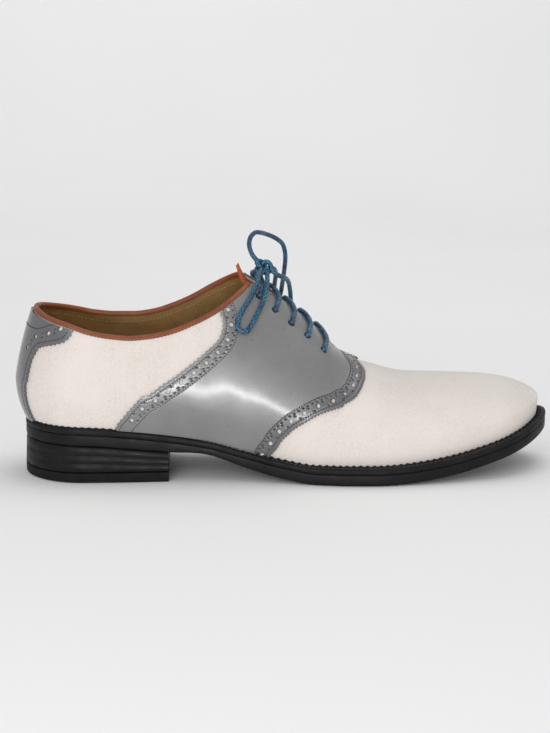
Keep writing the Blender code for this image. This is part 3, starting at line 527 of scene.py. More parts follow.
def sewn_sheet(turns, rises, back, ridge):
    """Numbers a lateral and a medial grid as one sheet: shared columns at heel and toe, shared rows on the ridge.

    Gives the number of each grid point, the cells, and how many points there are.
    """
    columns, rows = turns.shape
    lateral = np.arange(columns * rows).reshape(columns, rows)
    medial = lateral + columns * rows
    for column in back:
        medial[column] = lateral[column]
    medial[ridge, -1] = lateral[ridge, -1]
    kept, number = np.unique(np.concatenate([lateral.ravel(), medial.ravel()]), return_inverse=True)
    number = number.reshape(2, columns, rows)
    cells = grid_quads(columns, rows)
    first = number[0].ravel()[cells]
    second = number[1].ravel()[cells][:, ::-1]
    return number, np.vstack([first, second]), len(kept)


def sheet_points(number, size, turns, rises, lift):
    """Points of a sewn sheet; where the two sides share one, their mean."""
    total = np.zeros((size, 3))
    hits = np.zeros(size)
    for grid, side in zip(number, SIDES):
        made = skin(turns, rises[side], side, lift)
        np.add.at(total, grid.ravel(), made.reshape(-1, 3))
        np.add.at(hits, grid.ravel(), 1)
    return total / hits[:, None]


def measure(points):
    """Length along a row of points, from its first."""
    return np.concatenate([[0], np.cumsum(np.linalg.norm(np.diff(points, axis=0), axis=1))])


def unit(vectors):
    """Vectors scaled to length 1."""
    return vectors / np.linalg.norm(vectors, axis=-1, keepdims=True)


def tooth(length, pitch):
    """Height of the pinked edge from 0 in a notch to 1 on a tooth: a triangle wave of the length along it."""
    return 1 - np.abs(2 * np.mod(length / pitch, 1) - 1)


def offset_stations(points, edge, shares, toward, distances, limit):
    """How far along each row of a share the surface lies at given distances from an edge.

    The distance of a point is the least one to the edge's whole line; each row is walked until it is reached.
    """
    line = points(shares, edge, 0.0)
    steps = np.linspace(0, 1, 70)[:, None] * np.minimum(limit, np.where(toward < 0, edge, 1 - edge) * 0.999)
    walked = points(shares[None, :], edge[None, :] + toward * steps, 0.0)
    table = np.empty((len(shares), len(distances)))
    for k in range(len(shares)):
        away = np.linalg.norm(walked[:, k][:, None] - line[None], axis=-1).min(1)
        table[k] = np.interp(distances, np.maximum.accumulate(away), steps[:, k])
    kernel = np.hanning(23)
    padded = np.pad(table, ((11, 11), (0, 0)), mode="edge")
    return np.stack([np.convolve(column, kernel / kernel.sum(), mode="valid") for column in padded.T], -1)


class Band:
    """The perforated strip along one edge of the saddle, on one side of the shoe.

    share runs up the edge, across from 0 on the edge to 1 past the inner seam, ahead of the rear edge or
    behind the front one.
    """

    def __init__(self, edge, side):
        self.edge = edge
        self.side = side
        self.toward = 1 if edge == "rear" else -1
        self.shares = np.linspace(0, 1, 400)
        line = self.points(self.shares, saddle_edge(edge, self.shares), 0.0)
        self.across = np.linspace(0, 1, 13)
        self.reach = offset_stations(self.points, saddle_edge(edge, self.shares), self.shares, self.toward,
                                     self.across * BAND_WIDTH, 0.12)
        inside = self.points(self.shares, saddle_edge(edge, self.shares) + self.toward * self.reach[:, 2], 0.0)
        along = unit(np.gradient(line, axis=0))
        row = inside - line
        self.inward = unit(row - (row * along).sum(-1, keepdims=True) * along)
        self.length = measure(line)

    def points(self, share, station, lift):
        turn = turn_of(station)
        return skin(turn, overlay_rise(turn, share, self.side), self.side, lift)

    def station(self, share, across):
        """Station of a point of the strip, read between the rows and columns of its table."""
        share, across = np.broadcast_arrays(np.asarray(share, float), np.asarray(across, float))
        row = np.clip(share * (len(self.shares) - 1), 0, len(self.shares) - 1.0001)
        column = np.clip(across * (len(self.across) - 1), 0, len(self.across) - 1.0001)
        i, j = row.astype(int), column.astype(int)
        a, b = row - i, column - j
        reach = ((1 - a) * ((1 - b) * self.reach[i, j] + b * self.reach[i, j + 1])
                 + a * ((1 - b) * self.reach[i + 1, j] + b * self.reach[i + 1, j + 1]))
        return saddle_edge(self.edge, share) + self.toward * reach

    def line(self, across, lift):
        """A line along the strip, with the share at each point."""
        return self.points(self.shares, self.station(self.shares, across), lift)


def band_lift(distance):
    """Face of a perforated strip over the skin: thinner at its cut edge, with a trough along each seam."""
    edge = 1 - 0.35 * np.exp(-(distance / 0.0007) ** 2)
    seams = np.exp(-((distance - EDGE_SEAM) / SEAM_WIDTH) ** 2) + np.exp(-((distance - INNER_SEAM) / SEAM_WIDTH) ** 2)
    return OVERLAY_GAP + OVERLAY_THICKNESS * edge - SEAM_DEPTH * seams


def spaced(line, pitch, start):
    """Points every pitch along a line, from a start."""
    length = measure(line)
    at = np.arange(start, length[-1], pitch)
    return np.stack([np.interp(at, length, line[:, axis]) for axis in range(3)], -1)


def punch_round(top, under, quads, centres, radius, cell):
    """Round holes in a wall: points near a circle are drawn onto it and the cells inside it are left out."""
    for centre in centres:
        away = top - centre
        distance = np.linalg.norm(away, axis=1)
        near = np.abs(distance - radius) < 0.55 * cell
        shift = away[near] * (radius / distance[near] - 1)[:, None]
        top[near] += shift
        under[near] += shift
    middle = top[quads].mean(1)
    kept = np.ones(len(quads), bool)
    for centre in centres:
        kept &= np.linalg.norm(middle - centre, axis=1) > radius * 0.96
    return quads[kept]


def prick(top, under, tone, centres, radius, depth):
    """Pinholes: points within the radius are sunk and darkened as painted shade in the hole."""
    outward = unit(top - under)
    for centre in centres:
        distance = np.linalg.norm(top - centre, axis=1)
        inside = np.clip(1.45 - distance / radius, 0, 1)
        touched = inside > 0
        top[touched] -= outward[touched] * (inside[touched] * depth)[:, None]
        tone[touched] = np.maximum(tone[touched], np.clip(inside[touched] * 1.6, 0, 1))


def hole_rim_shade(top, centres):
    """Painted shade on the cut rim of each large hole: 1 on the circle, fading over the ring's width."""
    tone = np.zeros(len(top))
    for centre in centres:
        off = np.abs(np.linalg.norm(top - centre, axis=1) - HOLE_DIAMETER / 2)
        tone = np.maximum(tone, 0.8 * np.clip(1 - off / HOLE_RING, 0, 1))
    return tone


def backing(name, seats, finish):
    """Pale discs seen in the large holes, each a low drum of twelve sides along its hole's own way out."""
    angle = np.arange(12) * math.pi / 6
    k = np.arange(12)
    after = (k + 1) % 12
    sides = np.stack([k, after, after + 12, k + 12], -1)
    cap = np.array([(0, 3, 2, 1), (0, 5, 4, 3), (0, 7, 6, 5), (0, 9, 8, 7), (0, 11, 10, 9)])
    cell = np.vstack([sides, cap, cap[:, ::-1] + 12])
    rows = []
    for centres, ways in seats:
        for centre, way in zip(centres, unit(ways)):
            first = unit(np.cross(way, (0.31, 0.52, 0.79)))
            second = np.cross(way, first)
            ring = (first * np.cos(angle)[:, None] + second * np.sin(angle)[:, None]) * HOLE_DIAMETER * 0.53
            rows.append((np.vstack([centre + ring - way * 0.0003, centre + ring]), cell))
    points, cells = join_rows(rows)
    made = add_object(name, points, cells, finish)
    turn_outward(made)
    return made


def trim_loose(points, quads, tone=None):
    """Drops points that no cell uses."""
    used, number = np.unique(quads, return_inverse=True)
    return points[used], number.reshape(quads.shape), None if tone is None else tone[used]


def thread_row(line, outward, pitch, share, radius, start=0.0):
    """Stitches along a line: a stretched ball of a share of the pitch at each pitch, laid along the line.

    Gives points and cells; outward is the surface's direction at each point of the line.
    """
    length = measure(line)
    at = np.arange(start + pitch / 2, length[-1], pitch)
    where = np.stack([np.interp(at, length, line[:, axis]) for axis in range(3)], -1)
    tangent = np.gradient(line, axis=0)
    along = unit(np.stack([np.interp(at, length, tangent[:, axis]) for axis in range(3)], -1))
    out = np.stack([np.interp(at, length, outward[:, axis]) for axis in range(3)], -1)
    out = unit(out - (out * along).sum(-1, keepdims=True) * along)
    beside = np.cross(out, along)
    turns = np.arange(6) * math.pi / 3
    slope = np.linspace(-1, 1, 6)
    round_off = np.sqrt(np.clip(1 - (0.985 * slope) ** 2, 0, 1))
    a = (slope[:, None] * np.ones(6)[None, :] * pitch * share / 2).ravel()
    b = (round_off[:, None] * np.cos(turns)[None, :] * radius).ravel()
    c = (round_off[:, None] * np.sin(turns)[None, :] * radius * 0.8).ravel()
    points = (where[:, None] + along[:, None] * a[None, :, None] + beside[:, None] * b[None, :, None]
              + out[:, None] * c[None, :, None])
    ring = np.arange(6)
    after = (ring + 1) % 6
    quads = np.concatenate([np.stack([ring + 6 * k, after + 6 * k, after + 6 * k + 6, ring + 6 * k + 6], -1)
                            for k in range(5)])
    caps = np.array([(0, 5, 4, 3), (0, 3, 2, 1), (30, 31, 32, 33), (30, 33, 34, 35)])
    cell = np.vstack([quads, caps])
    count = len(a)
    cells = cell[None] + np.arange(len(at))[:, None, None] * count
    return points.reshape(-1, 3), cells.reshape(-1, 4)


def join_rows(rows):
    """Several meshes given as points and cells, as one."""
    points, cells, start = [], [], 0
    for some, faces in rows:
        points.append(some)
        cells.append(faces + start)
        start += len(some)
    return np.vstack(points), np.vstack(cells)


def bent_frame(line, guide):
    """Unit tangent, side and up along a line, the side as near square to a guide as it can be."""
    along = unit(np.gradient(line, axis=0))
    across = unit(np.cross(along, guide))
    return along, across, np.cross(across, along)


def carried_frame(line):
    """Tangent, side and up carried along a line without twist: each step turns them no more than the line."""
    along = unit(np.gradient(line, axis=0))
    across = np.empty_like(along)
    seed = np.cross(along[0], (0.31, 0.52, 0.79))
    across[0] = seed / np.linalg.norm(seed)
    for k in range(1, len(line)):
        kept = across[k - 1] - along[k] * np.dot(across[k - 1], along[k])
        across[k] = kept / np.linalg.norm(kept)
    return along, across, np.cross(along, across)


def round_tube(name, line, radius, finish, sides=LACE_SIDES):
    """A round closed tube along a line, with UV in metres along it and 0 to 1 round it.

    Each ring is the line's point plus the radius times cosine and sine along the carried side and up.
    """
    radius = np.broadcast_to(radius, len(line))
    _, across, up = carried_frame(line)
    angle = np.linspace(0, 2 * math.pi, sides, endpoint=False)
    ring = across[:, None] * np.cos(angle)[None, :, None] + up[:, None] * np.sin(angle)[None, :, None]
    points = (line[:, None] + radius[:, None, None] * ring).reshape(-1, 3)
    k = np.arange(len(line) - 1)[:, None]
    j = np.arange(sides)[None, :]
    after = (j + 1) % sides
    quads = np.stack([k * sides + j, k * sides + after, (k + 1) * sides + after, (k + 1) * sides + j], -1)
    length = measure(line)
    u = np.stack(np.broadcast_arrays(length[k], length[k], length[k + 1], length[k + 1]), -1)
    u = np.broadcast_to(u, quads.shape)
    v = np.stack([j / sides, (j + 1) / sides, (j + 1) / sides, j / sides], -1) * np.ones_like(k)[..., None]
    uv = np.stack([u, v], -1).reshape(-1, 2)
    last = (len(line) - 1) * sides
    faces = quads.reshape(-1, 4).tolist()
    faces.append(list(range(sides))[::-1])
    faces.append([last + i for i in range(sides)])
    uv = np.vstack([uv, np.zeros((2 * sides, 2))])
    return add_object(name, points, faces, finish, uv=uv)


def smooth(points, count):
    """Centripetal curve through a cord's route points, read at even lengths."""
    points = np.asarray(points, float)
    knots = np.concatenate([[0], np.cumsum(np.linalg.norm(np.diff(points, axis=0), axis=1) ** 0.5)])
    fine = np.linspace(0, knots[-1], 20 * len(points))
    slopes = np.gradient(points, knots, axis=0)
    k = np.clip(np.searchsorted(knots, fine, side="right") - 1, 0, len(knots) - 2)
    step = (knots[k + 1] - knots[k])[:, None]
    t = (fine - knots[k])[:, None] / step
    line = (points[k] * (1 + 2 * t) * (1 - t) ** 2 + points[k + 1] * t * t * (3 - 2 * t)
            + step * (slopes[k] * t * (1 - t) ** 2 + slopes[k + 1] * t * t * (t - 1)))
    length = measure(line)
    even = np.linspace(0, length[-1], count)
    return np.stack([np.interp(even, length, line[:, axis]) for axis in range(3)], -1)


def flat_tone(name, colour, roughness):
    """A new material's tree and shader with plain values."""
    made = bpy.data.materials.new(name)
    made.use_nodes = True
    made.diffuse_color = (*colour, 1)
    shader = made.node_tree.nodes["Principled BSDF"]
    shader.inputs["Base Color"].default_value = (*colour, 1)
    shader.inputs["Roughness"].default_value = roughness
    return made, made.node_tree, shader


def noise(tree, scale, detail, source, distortion=0.0):
    """A noise texture on Object coordinates."""
    node = tree.nodes.new("ShaderNodeTexNoise")
    node.inputs["Scale"].default_value = scale
    node.inputs["Detail"].default_value = detail
    node.inputs["Distortion"].default_value = distortion
    tree.links.new(source, node.inputs["Vector"])
    return node.outputs["Fac"]


def ramp(tree, value, low, high, from_low=0.3, from_high=0.7):
    """A value read between two numbers."""
    node = tree.nodes.new("ShaderNodeMapRange")
    node.inputs["From Min"].default_value = from_low
    node.inputs["From Max"].default_value = from_high
    node.inputs["To Min"].default_value = low
    node.inputs["To Max"].default_value = high
    tree.links.new(value, node.inputs["Value"])
    return node.outputs["Result"]


def calculate(tree, operation, first, second=None, third=None):
    """A Math node on values or sockets."""
    node = tree.nodes.new("ShaderNodeMath")
    node.operation = operation
    for socket, value in zip(node.inputs, (first, second, third)):
        if value is None:
            continue
        if isinstance(value, (int, float)):
            socket.default_value = value
        else:
            tree.links.new(value, socket)
    return node.outputs["Value"]


def blend_colours(tree, factor, first, second):
    """Colour between two, each a tuple or a socket."""
    node = tree.nodes.new("ShaderNodeMix")
    node.data_type = "RGBA"
    tree.links.new(factor, node.inputs["Factor"])
    for socket, value in ((node.inputs[6], first), (node.inputs[7], second)):
        if isinstance(value, tuple):
            socket.default_value = (*value, 1)
        else:
            tree.links.new(value, socket)
    return node.outputs[2]


def emboss(tree, shader, height, strength, distance, below=None):
    """Bump from a height, over another bump if given."""
    node = tree.nodes.new("ShaderNodeBump")
    node.inputs["Strength"].default_value = strength
    node.inputs["Distance"].default_value = distance
    tree.links.new(height, node.inputs["Height"])
    if below is not None:
        tree.links.new(below, node.inputs["Normal"])
    tree.links.new(node.outputs["Normal"], shader.inputs["Normal"])
    return node.outputs["Normal"]


def object_place(tree):
    """Object coordinates."""
    return tree.nodes.new("ShaderNodeTexCoord").outputs["Object"]


def shade(colour, by):
    """A colour times a factor."""
    return tuple(min(1.0, c * by) for c in colour)


def nubuck(colour):
    """Brushed pale leather: cloudy patches where the nap lies differently, fine fibres, a dusty sheen."""
    made, tree, shader = flat_tone("brushed_nubuck", colour, 0.92)
    place = object_place(tree)
    cloud = ramp(tree, noise(tree, 38, 4, place, 0.6), 0, 1)
    fibre = ramp(tree, noise(tree, 900, 5, place, 0.4), 0, 1)
    warm = (colour[0], colour[1] * 0.975, colour[2] * 0.95)
    toned = blend_colours(tree, cloud, shade(warm, 0.90), shade(colour, 1.04))
    toned = blend_colours(tree, fibre, toned, shade(colour, 1.07))
    dark = tree.nodes.new("ShaderNodeMix")
    dark.data_type = "RGBA"
    dark.blend_type = "MULTIPLY"
    dark.inputs["Factor"].default_value = 0.5
    tree.links.new(toned, dark.inputs[6])
    speckle = ramp(tree, noise(tree, 1900, 2, place), 0.86, 1.0, 0.3, 0.55)
    tree.links.new(speckle, dark.inputs[7])
    tree.links.new(dark.outputs[2], shader.inputs["Base Color"])
    shader.inputs["Sheen Weight"].default_value = 0.35
    shader.inputs["Sheen Roughness"].default_value = 0.6
    shader.inputs["Specular IOR Level"].default_value = 0.25
    soft = emboss(tree, shader, noise(tree, 110, 3, place), 0.22, 0.0006)
    emboss(tree, shader, noise(tree, 2100, 3, place), 0.28, 0.00012, soft)
    return made


def calf(name, colour):
    """Smooth grey calf with a light polish: faint grain, soft mottling, and painted shade in the pinholes and on the
    rims of the large holes through the tone attribute.
    """
    made, tree, shader = flat_tone(name, colour, 0.34)
    place = object_place(tree)
    cloud = ramp(tree, noise(tree, 55, 4, place, 0.5), 0, 1)
    toned = blend_colours(tree, cloud, shade(colour, 0.90), shade(colour, 1.10))
    fine = ramp(tree, noise(tree, 1300, 3, place), 0, 0.5)
    toned = blend_colours(tree, fine, toned, shade(colour, 1.22))
    # The tone attribute paints shade: the pinholes and hole rims go down to a tenth of the colour.
    painted_hole_shade = tree.nodes.new("ShaderNodeAttribute")
    painted_hole_shade.attribute_name = "tone"
    toned = blend_colours(tree, painted_hole_shade.outputs["Fac"], toned, shade(colour, 0.10))
    tree.links.new(toned, shader.inputs["Base Color"])
    rough = ramp(tree, noise(tree, 240, 3, place), 0.27, 0.37)
    tree.links.new(rough, shader.inputs["Roughness"])
    shader.inputs["Coat Weight"].default_value = 0.5
    shader.inputs["Coat Roughness"].default_value = 0.17
    cells = tree.nodes.new("ShaderNodeTexVoronoi")
    cells.feature = "DISTANCE_TO_EDGE"
    cells.inputs["Scale"].default_value = 1500
    tree.links.new(place, cells.inputs["Vector"])
    grain = ramp(tree, cells.outputs["Distance"], 0, 1, 0.0, 0.16)
    soft = emboss(tree, shader, noise(tree, 170, 3, place), 0.10, 0.0005)
    emboss(tree, shader, grain, 0.12, 0.00008, soft)
    return made


def plain_leather(name, colour, roughness, contrast, grain_scale, depth, coat=0.0):
    """Leather with broad shading of a given contrast and a pebbled grain."""
    made, tree, shader = flat_tone(name, colour, roughness)
    place = object_place(tree)
    cloud = ramp(tree, noise(tree, 70, 4, place, 0.8), 0, 1)
    toned = blend_colours(tree, cloud, shade(colour, 1 - contrast), shade(colour, 1 + contrast))
    fine = ramp(tree, noise(tree, grain_scale, 4, place), 0, 0.6)
    toned = blend_colours(tree, fine, toned, shade(colour, 1 + 1.4 * contrast))
    tree.links.new(toned, shader.inputs["Base Color"])
    tree.links.new(ramp(tree, noise(tree, 300, 3, place), roughness - 0.06, roughness + 0.08),
                   shader.inputs["Roughness"])
    shader.inputs["Coat Weight"].default_value = coat
    shader.inputs["Coat Roughness"].default_value = 0.25
    shader.inputs["Specular IOR Level"].default_value = 0.3
    emboss(tree, shader, noise(tree, grain_scale, 3, place), 0.3, depth)
    return made


def sole_edge_black(name, colour, roughness, coat):
    """Inked and waxed edge: faint lines along the layers, small dull patches."""
    made, tree, shader = flat_tone(name, colour, roughness)
    place = object_place(tree)
    squash = tree.nodes.new("ShaderNodeMapping")
    squash.inputs["Scale"].default_value = (0.12, 0.12, 3.0)
    tree.links.new(place, squash.inputs["Vector"])
    lines = noise(tree, 420, 3, squash.outputs["Vector"])
    cloud = ramp(tree, noise(tree, 90, 4, place), 0, 1)
    tree.links.new(blend_colours(tree, cloud, shade(colour, 0.75), shade(colour, 1.5)), shader.inputs["Base Color"])
    tree.links.new(ramp(tree, noise(tree, 160, 3, place), roughness - 0.1, roughness + 0.12),
                   shader.inputs["Roughness"])
    shader.inputs["Coat Weight"].default_value = coat
    shader.inputs["Coat Roughness"].default_value = 0.3
    shader.inputs["Specular IOR Level"].default_value = 0.16
    low = emboss(tree, shader, lines, 0.25, 0.0003)
    emboss(tree, shader, noise(tree, 800, 2, place), 0.12, 0.0001, low)
    return made


def waxed_braid(colour):
    """Round waxed lace: strands wound both ways, read from the UV map, with painted shade in the grooves between them,
    brighter crowns, and turquoise patches of painted highlight.
    """
    made, tree, shader = flat_tone("waxed_lace", colour, 0.38)
    split = tree.nodes.new("ShaderNodeSeparateXYZ")
    coordinate = tree.nodes.new("ShaderNodeTexCoord")
    tree.links.new(coordinate.outputs["UV"], split.inputs["Vector"])
    along = calculate(tree, "MULTIPLY", split.outputs["X"], 2 * math.pi / 0.0030)
    around = calculate(tree, "MULTIPLY", split.outputs["Y"], 2 * math.pi * 4)
    left = calculate(tree, "SINE", calculate(tree, "ADD", along, around))
    right = calculate(tree, "SINE", calculate(tree, "SUBTRACT", along, around))
    braid = calculate(tree, "MAXIMUM", left, right)
    crown = ramp(tree, braid, 0, 1, 0.1, 1.0)
    place = coordinate.outputs["Object"]
    # Painted highlight: turquoise patches at random over the dark blue, standing for the lace's waxy highlights.
    cloud = ramp(tree, noise(tree, 150, 4, place, 0.8), 0, 1, 0.38, 0.66)
    toned = blend_colours(tree, cloud, shade(colour, 0.6), (colour[0] + 0.012, colour[1] * 3.0, colour[2] * 1.9))
    # Painted shade: the grooves between the strands darken to a quarter of the colour.
    toned = blend_colours(tree, crown, shade(colour, 0.25), toned)
    tree.links.new(toned, shader.inputs["Base Color"])
    shader.inputs["Coat Weight"].default_value = 0.3
    shader.inputs["Coat Roughness"].default_value = 0.25
    emboss(tree, shader, braid, 0.55, 0.00025)
    return made


def thread_finish(name, colour):
    """Waxed thread."""
    made, tree, shader = flat_tone(name, colour, 0.5)
    place = object_place(tree)
    cloud = ramp(tree, noise(tree, 700, 2, place), 0, 1)
    tree.links.new(blend_colours(tree, cloud, shade(colour, 0.7), shade(colour, 1.3)), shader.inputs["Base Color"])
    emboss(tree, shader, noise(tree, 3000, 2, place), 0.3, 0.0001)
    return made


def finish_of(name, maker, *words):
    """A material made once and found again by its name."""
    return bpy.data.materials.get(name) or maker(*words)


class ShoeLooks(bpy.types.PropertyGroup):
    """Colours and sizes of the finish."""

    nubuck: bpy.props.FloatVectorProperty(
        name="Nubuck", description="Vamp and quarters", subtype="COLOR", size=3, default=(0.69, 0.635, 0.595))
    calf: bpy.props.FloatVectorProperty(
        name="Calf", description="Saddle and its rear band", subtype="COLOR", size=3, default=(0.170, 0.170, 0.172))
    # Shaded calf: a darker copy of the saddle's grey calf, painted shade on the counter and the saddle's front band
    dark_calf: bpy.props.FloatVectorProperty(
        name="Shaded calf", description="Counter and the saddle's front band", subtype="COLOR", size=3,
        default=(0.105, 0.106, 0.112))
    lining: bpy.props.FloatVectorProperty(
        name="Lining", description="Inside of the upper", subtype="COLOR", size=3, default=(0.27, 0.155, 0.055))
    binding: bpy.props.FloatVectorProperty(
        name="Binding", description="Rolled edge of the collar", subtype="COLOR", size=3,
        default=(0.20, 0.055, 0.018))
    tongue: bpy.props.FloatVectorProperty(
        name="Tongue", description="Tongue leather", subtype="COLOR", size=3, default=(0.36, 0.085, 0.022))
    lace: bpy.props.FloatVectorProperty(
        name="Lace", description="Waxed lace", subtype="COLOR", size=3, default=(0.012, 0.075, 0.20))
    sole: bpy.props.FloatVectorProperty(
        name="Sole", description="Welt, outsole and heel", subtype="COLOR", size=3, default=(0.0065, 0.0065, 0.007))
    hole_pitch: bpy.props.FloatProperty(
        name="Hole pitch", description="From one large hole of the bands to the next", default=0.009,
        unit="LENGTH", min=0.004, max=0.02)
    rear_teeth: bpy.props.FloatProperty(
        name="Rear pinking", description="From tooth to tooth of the saddle's rear edge", default=0.003,
        unit="LENGTH", min=0.001, max=0.006)
    front_teeth: bpy.props.FloatProperty(
        name="Front pinking", description="From tooth to tooth of the saddle's front edge", default=0.002,
        unit="LENGTH", min=0.001, max=0.006)
    counter_teeth: bpy.props.FloatProperty(
        name="Counter pinking", description="From tooth to tooth of the counter's edge", default=0.0028,
        unit="LENGTH", min=0.001, max=0.006)
    stitch_pitch: bpy.props.FloatProperty(
        name="Stitch pitch", description="From stitch to stitch of the seams", default=0.0016,
        unit="LENGTH", min=0.001, max=0.004)
    wheel_pitch: bpy.props.FloatProperty(
        name="Wheel pitch", description="From rib to rib of the welt", default=0.004,
        unit="LENGTH", min=0.001, max=0.006)


def eyelet_stations():
    """Stations of the eyelet pairs."""
    return np.linspace(FIRST_EYELET, LAST_EYELET, EYELET_PAIRS)


def eyelet_spread(station):
    """Distance of an eyelet from the ridge; the rows part a little towards the toe."""
    return np.interp(station, (FIRST_EYELET, LAST_EYELET), (EYELET_SPREAD_TOP, EYELET_SPREAD_TOE))


def eyelet_place(station, side, lift):
    """Centre of an eyelet on a layer of the upper."""
    turn = turn_of(station)
    rise = Column(turn, side).rise_at_distance(eyelet_spread(station))
    return skin(turn, rise, side, lift)


def eyelets(side, lift):
    """Centres of one side's eyelets on a layer of the upper."""
    return np.array([eyelet_place(station, side, lift) for station in eyelet_stations()])


class SHOE_OT_upper(bpy.types.Operator):
    """Vamp and quarters in nubuck, with the tan lining inside."""

    bl_idname = "saddle_shoe.upper"
    bl_label = "Upper"

    def execute(self, context):
        looks = context.scene.saddle_shoe
        white = finish_of("brushed_nubuck", nubuck, tuple(looks.nubuck))
        tan = finish_of("lining_calf", plain_leather, "lining_calf", tuple(looks.lining), 0.62, 0.22, 900, 0.0002)
        settle(self.layer("vamp_and_quarters", 250, 96, 0.0, -SHELL_LEATHER, white), "white_nubuck", "upper")
        settle(self.layer("lining", 150, 60, -SHELL_LEATHER - 0.0001, -UPPER_WALL, tan), "tan_lining")
        self.lining_seams(looks)
        return {"FINISHED"}

    def layer(self, name, columns, rows, outer, inner, finish):
        """One layer of the upper's wall, with its eyelets; outer and inner are lifts of the skin."""
        turns = stations(columns, (THROAT_END,))
        share = np.linspace(0, 1, rows)
        grid = np.repeat(turns[:, None], rows, axis=1)
        rises = {side: rows_up(share[None, :], top_rise(turns, side)[:, None]) for side in SIDES}
        ridge = station_of(turns) >= THROAT_END - 1e-6
        number, quads, size = sewn_sheet(grid, rises, (0, -1), ridge)
        top = sheet_points(number, size, grid, rises, outer)
        under = sheet_points(number, size, grid, rises, inner)
        holes = np.vstack([eyelets(side, outer) for side in SIDES])
        quads = punch_round(top, under, quads, holes, EYELET_DIAMETER / 2, 0.0010)
        points, faces = close_wall(top, under, quads)
        points, faces, _ = trim_loose(points, faces)
        made = add_object(name, points, faces, finish)
        turn_outward(made)
        return made

    def lining_seams(self, looks):
        """The row of yellow thread under the collar's inner edge, on each side."""
        thread = finish_of("lining_thread", thread_finish, "lining_thread", (0.42, 0.27, 0.08))
        rows = []
        for side in SIDES:
            turns = np.linspace(0.02, float(turn_of(THROAT_START - 0.02)), 160)
            rises = Column(turns, side).rise_at_height(collar_height(side, 0.0045))
            inside = skin(turns, rises, side, -UPPER_WALL - 0.00005)
            outside = skin(turns, rises, side, 0.0)
            rows.append(thread_row(inside, inside - outside, 0.0022, 0.7, 0.00032))
        points, cells = join_rows(rows)
        settle(add_object("lining_stitches", points, cells, thread), "tan_lining")


